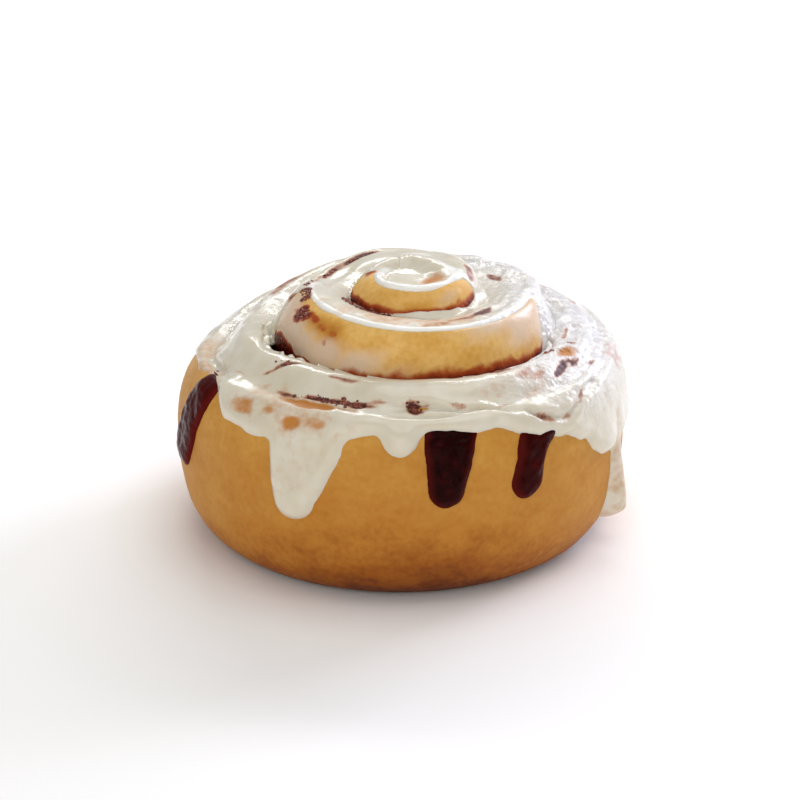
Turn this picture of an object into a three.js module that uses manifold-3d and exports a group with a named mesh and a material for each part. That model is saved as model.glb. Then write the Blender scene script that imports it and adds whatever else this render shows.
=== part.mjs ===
// An iced cinnamon roll: one strip of risen dough wound round a dark cinnamon filling,
// a poured icing cap that runs down in drips, and three tongues of cinnamon syrup.
// Millimetres, +Z up. The roll stands on its flat foot, and -Y is its front.
// Places on the spiral are given in turns, anticlockwise seen from above, 0 on +X.
import * as THREE from 'three';
import Module from 'manifold-3d';

// The spiral: the middle of the filling lies at LINE_RISE * t - LINE_SLOWING * t * t
const LINE_RISE = 24.04;
const LINE_SLOWING = 2.57;
const STEPS_PER_TURN = 36;
const STRIP_START = 9 / STEPS_PER_TURN;
const STRIP_END = 4 + 6 / STEPS_PER_TURN;
const OUTER_TURN_START = STRIP_END - 1;
const TAIL_FADE_TURNS = 0.22;
const EYE_RADIUS = 1.2;

// Filling between the turns, and the open crevice at the left of the second coil
const FILLING_THICKNESS = 1.2;
const CLEARANCE = 0.3;
const FILLING_LINE_STAND = 0.5;
const CREVICE_WIDTH = 2.2;
const CREVICE_TURN = 1.58;
const CREVICE_SPREAD = 0.09;

// Outer wall: a bulged side that is widest at BULGE_HEIGHT, on a smaller flat foot
const BULGE_HEIGHT = 25.2;
const SHOULDER_HEIGHT = 49.5;
const SHOULDER_POWER = 10;
const COIL_RISE = 17;
const COIL_RISE_FROM = 0.8;
const COIL_RISE_TO = 0.45;
const FOOT_RATIO = 0.78;
const FOOT_POWER = 2.4;

// Top: the coils rise towards the middle, each with a rounded crest and grooves beside it
const CREST_TOP = 62.2;
const CREST_FALL = 16.5;
const CREST_FALL_START = 1.0;
const CREST_FALL_TURNS = 2.6;
const CREST_BLEND = 1.2;
const CREST_PLACE_INNER = 0.6;
const CREST_PLACE_OUTER = 0.42;
const CREST_SWAY = 0.2;
const GROOVE_DEPTH = 3.5;
const SEAM_DEPTH = 2.5;
const INNER_ROUND = 2.2;
const OUTER_ROUND = 1.6;

// Where the top has sunk: each sag is a centre and a width in degrees and a depth in mm.
// It grows with the height, from none at SAG_FROM to all of it at SAG_FULL
const SAG_BACK = [80, 62, 1.8];
const SAG_LEFT = [158, 34, 3.6];
const SAG_OUTER = [162, 31, 5.2];
const SAG_FROM = 22;
const SAG_FULL = 48;

// Icing
const ICING_TOP = 1.1;
const ICING_WALL = 1.3;
const EDGE_ROUND = 1.5;
const UNDER_GROOVE = 0.62;
const OVER_GROOVE = 0.3;
const ICING_CLEARANCE = 0.45;

const TAU = 2 * Math.PI;
const clamp01 = (x) => Math.min(1, Math.max(0, x));
const mix = (a, b, t) => a + (b - a) * t;
const smooth = (x) => clamp01(x) ** 2 * (3 - 2 * clamp01(x));
const softMin = (a, b) =>
  Math.min(a, b) - CREST_BLEND * Math.log1p(Math.exp(-Math.abs(a - b) / CREST_BLEND));
const softMax = (a, b, k) => Math.max(a, b) + Math.max(k - Math.abs(a - b), 0) ** 2 / (4 * k);
const wrapTurn = (x) => x - Math.floor(x);
const bump = (x, width) => Math.exp(-((x / width) ** 2));

const lineRadius = (turn) => (turn > 0 ? LINE_RISE * turn - LINE_SLOWING * turn * turn : 0);

function turnAtRadius(radius) {
  const inside = LINE_RISE ** 2 - 4 * LINE_SLOWING * radius;
  return (LINE_RISE - Math.sqrt(Math.max(inside, 0))) / (2 * LINE_SLOWING);
}

// The outer wall follows the last turn, and thins down to the turn below at the tail
function wallRadius(azimuth) {
  const along = wrapTurn(azimuth - OUTER_TURN_START - 3 / STEPS_PER_TURN);
  const turn = OUTER_TURN_START + 3 / STEPS_PER_TURN + along;
  const tail = smooth((along - 1 + TAIL_FADE_TURNS) / TAIL_FADE_TURNS);
  return mix(lineRadius(turn), lineRadius(OUTER_TURN_START + 3 / STEPS_PER_TURN), tail);
}

// The height that no crest passes: the shoulder near the wall, and far above the inner coils
function shoulderHeight(ratio) {
  const rest = Math.max(1 - Math.min(ratio, 1) ** SHOULDER_POWER, 0);
  const inwards = smooth((ratio - COIL_RISE_FROM) / (COIL_RISE_TO - COIL_RISE_FROM));
  return BULGE_HEIGHT + (SHOULDER_HEIGHT - BULGE_HEIGHT + COIL_RISE * inwards) * Math.sqrt(rest);
}

function footHeight(ratio) {
  const x = clamp01((ratio - FOOT_RATIO) / (1 - FOOT_RATIO));
  return BULGE_HEIGHT * (1 - Math.max(1 - x ** FOOT_POWER, 0) ** (1 / FOOT_POWER));
}

// Share of the wall radius at a height, from the foot up to the shoulder
function wallRatio(height) {
  if (height < BULGE_HEIGHT) {
    const y = clamp01(1 - height / BULGE_HEIGHT);
    return FOOT_RATIO + (1 - FOOT_RATIO) * Math.max(1 - y ** FOOT_POWER, 0) ** (1 / FOOT_POWER);
  }
  const y = clamp01((height - BULGE_HEIGHT) / (SHOULDER_HEIGHT - BULGE_HEIGHT));
  return Math.max(1 - y * y, 0) ** (1 / SHOULDER_POWER);
}

// Outward direction of the wall as [radial, vertical]
function wallNormal(ratio, height, radius) {
  let radial = SHOULDER_POWER * Math.min(ratio, 1) ** (SHOULDER_POWER - 1) / radius;
  let vertical = 2 * (height - BULGE_HEIGHT) / (SHOULDER_HEIGHT - BULGE_HEIGHT) ** 2;
  if (height < BULGE_HEIGHT) {
    const x = clamp01((ratio - FOOT_RATIO) / (1 - FOOT_RATIO));
    const y = 1 - height / BULGE_HEIGHT;
    radial = x ** (FOOT_POWER - 1) / ((1 - FOOT_RATIO) * radius);
    vertical = -(y ** (FOOT_POWER - 1)) / BULGE_HEIGHT;
  }
  const size = Math.hypot(radial, vertical);
  return [radial / size, vertical / size];
}

const crestHeight = (turn) =>
  CREST_TOP - CREST_FALL * smooth((turn - CREST_FALL_START) / CREST_FALL_TURNS);

// Where the crest lies across the strip, 0 at its inner side and 1 at its outer side:
// it sways from side to side in the middle, and lies nearer the inner side further out
function crestPlace(turn) {
  const sway = CREST_SWAY * Math.exp(-0.8 * (turn - 0.5)) * Math.cos(TAU * turn);
  return mix(CREST_PLACE_INNER, CREST_PLACE_OUTER, smooth((turn - 2.1) / 0.4)) + sway;
}

const grooveDepth = (turn) => mix(GROOVE_DEPTH, SEAM_DEPTH, smooth((turn - 2) / 0.5));

const crevice = (turn) => CREVICE_WIDTH * bump(turn - CREVICE_TURN, CREVICE_SPREAD);

const lastTurn = (turn) => smooth((turn - OUTER_TURN_START) / (3 / STEPS_PER_TURN));

const roundedDip = (x, power) => 1 - Math.max(1 - clamp01(x) ** power, 0) ** (1 / power);

// Height of the top at a place across the strip. groove is the share of the groove's depth,
// and shape tells how the surface falls from the crest into the grooves.
function topHeight(turn, across, ratio, groove, shape) {
  const place = crestPlace(turn);
  const shoulder = shoulderHeight(ratio);
  const crest = softMin(crestHeight(turn), shoulder);
  if (across <= place) {
    return crest - groove * grooveDepth(turn - 1) * shape.inner((place - across) / place);
  }
  const next = softMin(crestHeight(turn + 1), shoulder) - groove * grooveDepth(turn);
  const fall = shape.outer((across - place) / (1 - place));
  return mix(crest, next, fall * (1 - lastTurn(turn)));
}

const DOUGH_SHAPE = {
  inner: (x) => roundedDip(x, INNER_ROUND),
  outer: (x) => roundedDip(x, OUTER_ROUND),
};
const POURED_SHAPE = {
  inner: (x) => clamp01(x) ** 3.5,
  outer: (x) => clamp01(x) ** 3,
};

// Height at a radius and azimuth of a surface that lies over the grooves
function pouredHeight(radius, azimuth, groove) {
  const wall = wallRadius(azimuth);
  const below = Math.floor(turnAtRadius(Math.min(radius, wall)) - azimuth);
  const turn = azimuth + Math.min(below + 1, azimuth < OUTER_TURN_START - 3 ? 4 : 3);
  const inner = lineRadius(turn - 1);
  const outer = mix(lineRadius(turn), wall, lastTurn(turn));
  const across = clamp01((radius - inner) / (outer - inner));
  return topHeight(turn, across, radius / wall, groove, POURED_SHAPE);
}

// How far a place has sunk, over the inner coils and over the outer turn
function sag(x, y, z) {
  const degrees = Math.atan2(y, x) * (360 / TAU);
  const at = ([centre, width, depth]) => depth * bump(((degrees - centre + 540) % 360) - 180, width);
  const radius = Math.hypot(x, y);
  const inner = (at(SAG_BACK) + at(SAG_LEFT)) * smooth((radius - 8) / 9);
  const deep = mix(inner, at(SAG_OUTER), smooth((radius - 30) / 10));
  return deep * smooth((z - SAG_FROM) / (SAG_FULL - SAG_FROM));
}

function meshFrom(name, positions, triangles, finish) {
  const geometry = new THREE.BufferGeometry();
  for (let i = 0; i < positions.length; i += 3) {
    positions[i + 2] -= sag(positions[i], positions[i + 1], positions[i + 2]);
  }
  geometry.setAttribute('position', new THREE.Float32BufferAttribute(positions, 3));
  geometry.setIndex(triangles);
  geometry.computeVertexNormals();
  const mesh = new THREE.Mesh(geometry, new THREE.MeshStandardMaterial(finish));
  mesh.name = name;
  return mesh;
}

// The triangles that fill a cross section, anticlockwise in radius and height
function capTriangles(ring) {
  const outline = ring.map(([radius, height]) => new THREE.Vector2(radius, height));
  return THREE.ShapeUtils.triangulateShape(outline, []).map(([a, b, c]) => {
    const area = THREE.ShapeUtils.area([outline[a], outline[b], outline[c]]);
    return area > 0 ? [a, b, c] : [a, c, b];
  });
}

// A closed body from cross sections, each a ring of [radius, height] at its own azimuth
function sweep(name, stations, finish) {
  const count = stations[0].ring.length;
  const positions = [];
  const triangles = [];
  for (const { azimuth, ring } of stations) {
    for (const [radius, height] of ring) {
      positions.push(radius * Math.cos(TAU * azimuth), radius * Math.sin(TAU * azimuth), height);
    }
  }
  for (let s = 0; s + 1 < stations.length; s += 1) {
    for (let i = 0; i < count; i += 1) {
      const a = s * count + i;
      const b = s * count + ((i + 1) % count);
      triangles.push(a, a + count, b, b, a + count, b + count);
    }
  }
  const last = (stations.length - 1) * count;
  for (const [a, b, c] of capTriangles(stations[0].ring)) triangles.push(a, b, c);
  for (const [a, b, c] of capTriangles(stations.at(-1).ring)) {
    triangles.push(last + a, last + c, last + b);
  }
  return meshFrom(name, positions, triangles, finish);
}

const TOP_POINTS = 11;
const FOOT_POINTS = 6;
const FOOT_INSET = 0.012;

function doughSection(turn) {
  const azimuth = wrapTurn(turn);
  const wall = wallRadius(azimuth);
  const halfGap = FILLING_THICKNESS / 2 + CLEARANCE;
  const inner = Math.max(lineRadius(turn - 1) + halfGap + crevice(turn - 1), EYE_RADIUS);
  const outer = mix(lineRadius(turn) - halfGap, wall, lastTurn(turn));
  const ring = [];
  for (let i = 0; i < TOP_POINTS; i += 1) {
    const across = 1 - (1 - (i / (TOP_POINTS - 1)) ** 1.25) ** 2;
    const radius = mix(inner, outer, across);
    ring.push([radius, topHeight(turn, across, radius / wall, 1, DOUGH_SHAPE)]);
  }
  for (let j = 0; j < FOOT_POINTS; j += 1) {
    const back = FOOT_INSET + (1 - FOOT_INSET) * (j / (FOOT_POINTS - 1)) ** 1.8;
    const radius = mix(outer, inner, back);
    ring.push([radius, footHeight(radius / wall)]);
  }
  return { azimuth, ring: ring.reverse() };
}

function fillingSection(turn) {
  const azimuth = wrapTurn(turn);
  const wall = wallRadius(azimuth);
  const middle = lineRadius(turn);
  const ratio = middle / wall;
  const crest = softMin(crestHeight(turn + 1), shoulderHeight(ratio));
  const top = crest - grooveDepth(turn) + FILLING_LINE_STAND;
  const ring = [
    [middle - FILLING_THICKNESS / 2, footHeight(ratio) + 2 * CLEARANCE],
    [middle + FILLING_THICKNESS / 2, footHeight(ratio) + 2 * CLEARANCE],
    [middle + FILLING_THICKNESS / 2, top],
    [middle - FILLING_THICKNESS / 2, top],
  ];
  return { azimuth, ring };
}

function stationsBetween(start, end, section) {
  const first = Math.round(start * STEPS_PER_TURN);
  const last = Math.round(end * STEPS_PER_TURN);
  return Array.from({ length: last - first + 1 }, (_, i) => section((first + i) / STEPS_PER_TURN));
}

// Runs down the wall: root and tip as [azimuth in degrees, height], half widths in mm,
// and how thick the run is
const ICING_RUNS = [
  { root: [245.5, 39], tip: [243.8, 25.0], widths: [10.0, 4.2], thick: 2.0 },
  { root: [270.5, 44], tip: [271.0, 42.6], widths: [4.6, 4.6], thick: 2.0 },
  { root: [308, 42], tip: [309, 41.0], widths: [4.0, 3.6], thick: 1.3 },
  { root: [331, 34], tip: [334, 31.0], widths: [6.0, 5.0], thick: 1.6 },
  { root: [337, 28], tip: [336, 10.6], widths: [3.6, 3.3], thick: 3.2 },
  { root: [12, 30], tip: [14, 21.0], widths: [5.5, 3.6], thick: 1.8 },
  { root: [47, 35], tip: [45, 27.5], widths: [6.0, 4.0], thick: 1.8 },
  { root: [78, 36], tip: [80, 17.5], widths: [6.5, 3.6], thick: 2.0 },
  { root: [112, 38], tip: [110, 31.0], widths: [5.5, 4.2], thick: 1.7 },
  { root: [143, 40], tip: [146, 24.0], widths: [6.0, 3.6], thick: 1.9 },
];
const SYRUP_RUNS = {
  syrup_drip_left: { root: [209.5, 45], tip: [199.0, 25.5], widths: [4.4, 5.4], thick: 1.2 },
  syrup_drip_front: { root: [284.0, 43], tip: [282.2, 30.2], widths: [6.6, 4.2], thick: 1.3 },
  syrup_drip_right: { root: [308.0, 41], tip: [303.2, 29.0], widths: [7.4, 3.9], thick: 1.3 },
};

// Height of the icing's lower edge between the runs, through [azimuth in degrees, height]
const EDGE_LEVELS = [
  [0, 27], [40, 33], [80, 35], [120, 38], [160, 40.5], [188, 42.6], [205, 43.4], [214, 42.8],
  [221, 38.4], [232, 38.0], [254, 40.5], [263, 42.4], [284, 42.6], [296, 42], [310, 38.6],
  [322, 38.4], [330, 31], [342, 27],
];

function edgeLevel(degrees) {
  const count = EDGE_LEVELS.length;
  let next = EDGE_LEVELS.findIndex(([angle]) => angle > degrees);
  if (next < 0) next = count;
  const [a0, z0] = EDGE_LEVELS[(next - 1 + count) % count];
  const [a1, z1] = EDGE_LEVELS[next % count];
  const span = (a1 - a0 + 360) % 360;
  return mix(z0, z1, smooth((degrees - a0) / span));
}

// How far a point of the wall lies inside a run, in mm
function insideRun(run, degrees, height, radius) {
  const arc = (angle) => (((angle + 540) % 360) - 180) * (TAU / 360) * radius;
  const x = arc(degrees - run.root[0]);
  const z = height - run.root[1];
  const dx = arc(run.tip[0] - run.root[0]);
  const dz = run.tip[1] - run.root[1];
  const t = clamp01((x * dx + z * dz) / (dx * dx + dz * dz));
  const away = Math.hypot(x - t * dx, z - t * dz);
  return mix(run.widths[0], run.widths[1], t) - away;
}

// The bare golden faces at the front of the two inner coils, in turns and across the strip
const BARE_FACES = [
  { from: 0.50, to: 0.96, margin: 0.07 },
  { from: 1.53, to: 1.96, margin: 0.08 },
];

function insideBareFace(radius, azimuth) {
  let inside = -Infinity;
  for (const { from, to, margin } of BARE_FACES) {
    const turn = azimuth + Math.floor(from);
    const inner = lineRadius(turn - 1);
    const width = Math.max(lineRadius(turn) - inner, EYE_RADIUS);
    const across = (radius - inner) / width;
    const sides = Math.min(across - crestPlace(turn) - margin, 1.06 - across) * width;
    const ends = Math.min(turn - from, to - turn) * TAU * radius;
    inside = Math.max(inside, Math.min(sides, ends));
  }
  return inside;
}

// Rows of the poured skin: over the top by share of the wall radius, down the wall by height
const TOP_ROWS = 16;
const TOP_LIMIT = 0.8;
const SHOULDER_ROWS = [0.84, 0.88, 0.915, 0.945, 0.97];
const WALL_ROWS = [33, 29.5, 26, 22.5, 19, 15.5, 12, 9, 6.5, 4.5];
const FINE_STEP = 4.0;
const COARSE_STEP = 7.2;
const FINE_FROM = 186;
const FINE_TO = 352;

function skinAzimuths() {
  const fine = Math.round((FINE_TO - FINE_FROM) / FINE_STEP);
  const coarse = Math.round((360 - FINE_TO + FINE_FROM) / COARSE_STEP);
  const angles = [];
  for (let i = 0; i < fine; i += 1) angles.push(mix(FINE_FROM, FINE_TO, i / fine));
  for (let i = 0; i < coarse; i += 1) angles.push(mix(FINE_TO, 360 + FINE_FROM, i / coarse));
  return angles.map((angle) => wrapTurn(angle / 360));
}

function skinPoint(azimuth, row, groove) {
  const wall = wallRadius(azimuth);
  if (row.height !== undefined) {
    const ratio = wallRatio(row.height);
    return { radius: ratio * wall, height: row.height, normal: wallNormal(ratio, row.height, wall) };
  }
  const radius = row.ratio * wall;
  const height = pouredHeight(radius, azimuth, groove);
  return { radius, height, normal: wallNormal(row.ratio, Math.max(height, SHOULDER_HEIGHT - 8), wall) };
}

const SKIN_AZIMUTHS = skinAzimuths();
const SKIN_ROWS = [
  ...Array.from({ length: TOP_ROWS }, (_, i) => ({ ratio: TOP_LIMIT * (i + 1) / TOP_ROWS })),
  ...SHOULDER_ROWS.map((ratio) => ({ ratio })),
  ...WALL_ROWS.map((height) => ({ height })),
];

// A closed body bounded by the poured skin, raised by a height that lift gives in mm
function skinBody(wasm, lift) {
  const positions = [];
  const triangles = [];
  const count = SKIN_AZIMUTHS.length;
  const centre = pouredHeight(0, 0, UNDER_GROOVE) + ICING_CLEARANCE;
  positions.push(0, 0, centre + lift(0, 0, centre, 0));
  for (const row of SKIN_ROWS) {
    for (const azimuth of SKIN_AZIMUTHS) {
      const { radius, height, normal } = skinPoint(azimuth, row, UNDER_GROOVE);
      const raise = ICING_CLEARANCE + lift(azimuth, radius, height, row.ratio ?? 1);
      const r = radius + raise * normal[0];
      const z = height + raise * normal[1];
      positions.push(r * Math.cos(TAU * azimuth), r * Math.sin(TAU * azimuth), z);
    }
  }
  positions.push(0, 0, BULGE_HEIGHT / 2);
  const foot = positions.length / 3 - 1;
  for (let j = 0; j < count; j += 1) {
    const k = (j + 1) % count;
    triangles.push(0, 1 + j, 1 + k);
    for (let i = 0; i + 1 < SKIN_ROWS.length; i += 1) {
      const a = 1 + i * count + j;
      const b = 1 + i * count + k;
      triangles.push(a, a + count, b, b, a + count, b + count);
    }
    triangles.push(foot, foot - count + k, foot - count + j);
  }
  const solid = new wasm.Mesh({
    numProp: 3,
    vertProperties: Float32Array.from(positions),
    triVerts: Uint32Array.from(triangles),
  });
  return new wasm.Manifold(solid);
}

// How far a point lies inside the iced area, in mm, negative where the dough is bare
function insideIcing(azimuth, radius, height, ratio) {
  const degrees = azimuth * 360;
  let inside = height - edgeLevel(degrees);
  if (ratio > TOP_LIMIT) {
    const wall = wallRadius(azimuth);
    for (const run of ICING_RUNS) inside = softMax(inside, insideRun(run, degrees, height, wall), 2);
  }
  return Math.min(inside, -insideBareFace(radius, azimuth));
}

function icingThickness(azimuth, radius, height, ratio) {
  const degrees = azimuth * 360;
  const onWall = smooth((ratio - TOP_LIMIT) / 0.15);
  const pool = ratio < 1 && height > BULGE_HEIGHT
    ? pouredHeight(radius, azimuth, OVER_GROOVE) - pouredHeight(radius, azimuth, UNDER_GROOVE)
    : 0;
  let thick = mix(ICING_TOP + pool, ICING_WALL, onWall);
  for (const run of ICING_RUNS) {
    const share = smooth(insideRun(run, degrees, height, wallRadius(azimuth)) / run.widths[1]);
    thick += (run.thick - ICING_WALL) * onWall * share;
  }
  return thick;
}

// Rise of a poured edge: zero on the edge, rounding up to the thickness inside it,
// and as far below the surface outside it
const edgeRise = (inside, thick) =>
  Math.sign(inside) * thick * (1 - Math.exp(-Math.abs(inside) / EDGE_ROUND));

// Icing, or the room that its neighbours leave for it when spare is more than 0
function icingLift(spare) {
  return (azimuth, radius, height, ratio) => {
    const inside = insideIcing(azimuth, radius, height, ratio) + spare;
    return edgeRise(inside, icingThickness(azimuth, radius, height, ratio)) + spare;
  };
}

function syrupLift(run) {
  return (azimuth, radius, height, ratio) => {
    if (ratio < TOP_LIMIT) return -run.thick;
    return edgeRise(insideRun(run, azimuth * 360, height, wallRadius(azimuth)), run.thick);
  };
}

function meshFromSolid(name, solid, finish) {
  const { vertProperties, triVerts } = solid.getMesh();
  return meshFrom(name, Array.from(vertProperties), Array.from(triVerts), finish);
}

const DOUGH = { color: 0xbf8740, roughness: 0.6, metalness: 0 };
const FILLING = { color: 0x4a1a0e, roughness: 0.4, metalness: 0 };
const ICING = { color: 0xe6dcc4, roughness: 0.25, metalness: 0 };
const SYRUP = { color: 0x3a120a, roughness: 0.3, metalness: 0 };

const wasm = await Module();
wasm.setup();

const roll = new THREE.Group();
roll.add(sweep('dough', stationsBetween(STRIP_START, STRIP_END, doughSection), DOUGH));
const filling = stationsBetween(STRIP_START, OUTER_TURN_START, fillingSection);
roll.add(sweep('cinnamon_filling', filling, FILLING));

const under = skinBody(wasm, () => 0);
roll.add(meshFromSolid('icing', skinBody(wasm, icingLift(0)).subtract(under), ICING));

const icingRoom = skinBody(wasm, icingLift(2 * CLEARANCE));
for (const [name, run] of Object.entries(SYRUP_RUNS)) {
  const tongue = skinBody(wasm, syrupLift(run)).subtract(under).subtract(icingRoom);
  roll.add(meshFromSolid(name, tongue, SYRUP));
}

// The origin is under the middle of the whole roll, on the surface that it stands on
const middle = new THREE.Box3().setFromObject(roll).getCenter(new THREE.Vector3());
roll.position.set(-middle.x, -middle.y, 0);
const group = new THREE.Group();
group.add(roll);

export default group;
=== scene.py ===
"""An iced cinnamon roll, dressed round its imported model.

The roll is one strip of risen dough wound round a dark cinnamon filling, under a poured
icing cap with drips and three runs of cinnamon syrup. Every surface here is a function of
two parameters on a grid, worked out in millimetres round the roll's own upright axis, and
is moved into the model's frame, in metres, when its mesh is made. Azimuths are in turns,
anticlockwise seen from above, 0 on +X; -Y is the front.
"""

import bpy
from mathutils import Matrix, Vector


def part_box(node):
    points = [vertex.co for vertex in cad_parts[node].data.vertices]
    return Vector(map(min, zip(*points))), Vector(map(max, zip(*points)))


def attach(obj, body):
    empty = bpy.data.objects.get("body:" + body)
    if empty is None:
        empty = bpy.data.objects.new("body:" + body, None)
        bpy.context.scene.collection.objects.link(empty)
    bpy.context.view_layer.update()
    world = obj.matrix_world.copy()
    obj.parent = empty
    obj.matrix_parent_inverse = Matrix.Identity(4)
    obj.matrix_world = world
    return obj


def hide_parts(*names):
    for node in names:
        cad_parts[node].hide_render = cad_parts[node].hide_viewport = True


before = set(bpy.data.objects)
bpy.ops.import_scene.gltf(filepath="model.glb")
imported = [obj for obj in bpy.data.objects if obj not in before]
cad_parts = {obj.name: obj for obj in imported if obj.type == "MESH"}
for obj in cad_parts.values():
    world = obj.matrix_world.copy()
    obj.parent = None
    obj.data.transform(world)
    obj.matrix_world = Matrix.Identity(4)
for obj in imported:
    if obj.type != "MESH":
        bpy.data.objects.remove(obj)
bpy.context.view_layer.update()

import logging
import math
from collections.abc import Callable, Sequence
from dataclasses import dataclass, field
from enum import Enum

import bpy
import numpy as np
from mathutils import Vector

LOG = logging.getLogger("cinnamon_roll")
TAU = 2.0 * math.pi
MM = 0.001
BODY = "root"

Array = np.ndarray
Socket = bpy.types.NodeSocket


# Small functions on arrays

def smooth(x: Array) -> Array:
    """Gives 0 below 0, 1 above 1, and 3x^2 - 2x^3 between."""
    x = np.clip(x, 0.0, 1.0)
    return x * x * (3.0 - 2.0 * x)


def mix(a: Array, b: Array, share: Array) -> Array:
    """Gives a at share 0 and b at share 1, on a straight line."""
    return a + (b - a) * share


def soft_min(a: Array, b: Array, blend: float) -> Array:
    """Gives the lower of a and b, rounded over about blend where they are alike."""
    return np.minimum(a, b) - blend * np.log1p(np.exp(-np.abs(a - b) / blend))


def soft_max(a: Array, b: Array, blend: float) -> Array:
    """Gives the higher of a and b, with a fillet of about blend where they are alike."""
    return np.maximum(a, b) + np.maximum(blend - np.abs(a - b), 0.0) ** 2 / (4.0 * blend)


def bump(x: Array, width: float) -> Array:
    """Gives a bell of height 1 at 0 that falls off over width."""
    return np.exp(-((x / width) ** 2))


def rounded_dip(x: Array, power: float) -> Array:
    """Gives 0 at 0 and 1 at 1 along a quarter of a superellipse of that power."""
    return 1.0 - np.maximum(1.0 - np.clip(x, 0.0, 1.0) ** power, 0.0) ** (1.0 / power)


def turns_between(degrees: Array, centre: float) -> Array:
    """Gives degrees less centre as an angle from -180 to 180 degrees."""
    return (degrees - centre + 180.0) % 360.0 - 180.0


class SpaceNoise:
    """A smooth pseudo-random field in space, the same on every run.

    It holds one random number for each corner of a lattice of cubes, and blends the eight
    numbers round a point by smooth weights.
    """

    SIDE = 32

    def __init__(self, seed: int) -> None:
        """Draws the lattice.

        Args:
            seed: The seed of the draw.
        """
        self._corners = np.random.default_rng(seed).uniform(-1.0, 1.0, (self.SIDE,) * 3)

    def at(self, points: Array, size: float) -> Array:
        """Gives the field at points.

        Args:
            points: Places in mm, the last axis being x, y, z.
            size: The side of a lattice cube in mm.

        Returns:
            Values from -1 to 1.
        """
        place = points / size
        cell = np.floor(place).astype(int)
        share = smooth(place - cell)
        total = np.zeros(points.shape[:-1])
        for corner in np.ndindex(2, 2, 2):
            weight = np.prod(np.where(np.array(corner) == 1, share, 1.0 - share), axis=-1)
            index = (cell + corner) % self.SIDE
            total += weight * self._corners[index[..., 0], index[..., 1], index[..., 2]]
        return total

    def layered(self, points: Array, size: float, layers: int) -> Array:
        """Gives the sum of layers, each half as large and half as strong as the last."""
        return sum(self.at(points + 31.7 * k, size / 2**k) / 2**k for k in range(layers))


RELIEF_NOISE = SpaceNoise(3)
FLOW_NOISE = SpaceNoise(11)
STAIN_NOISE = SpaceNoise(27)


# The roll's form

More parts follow.
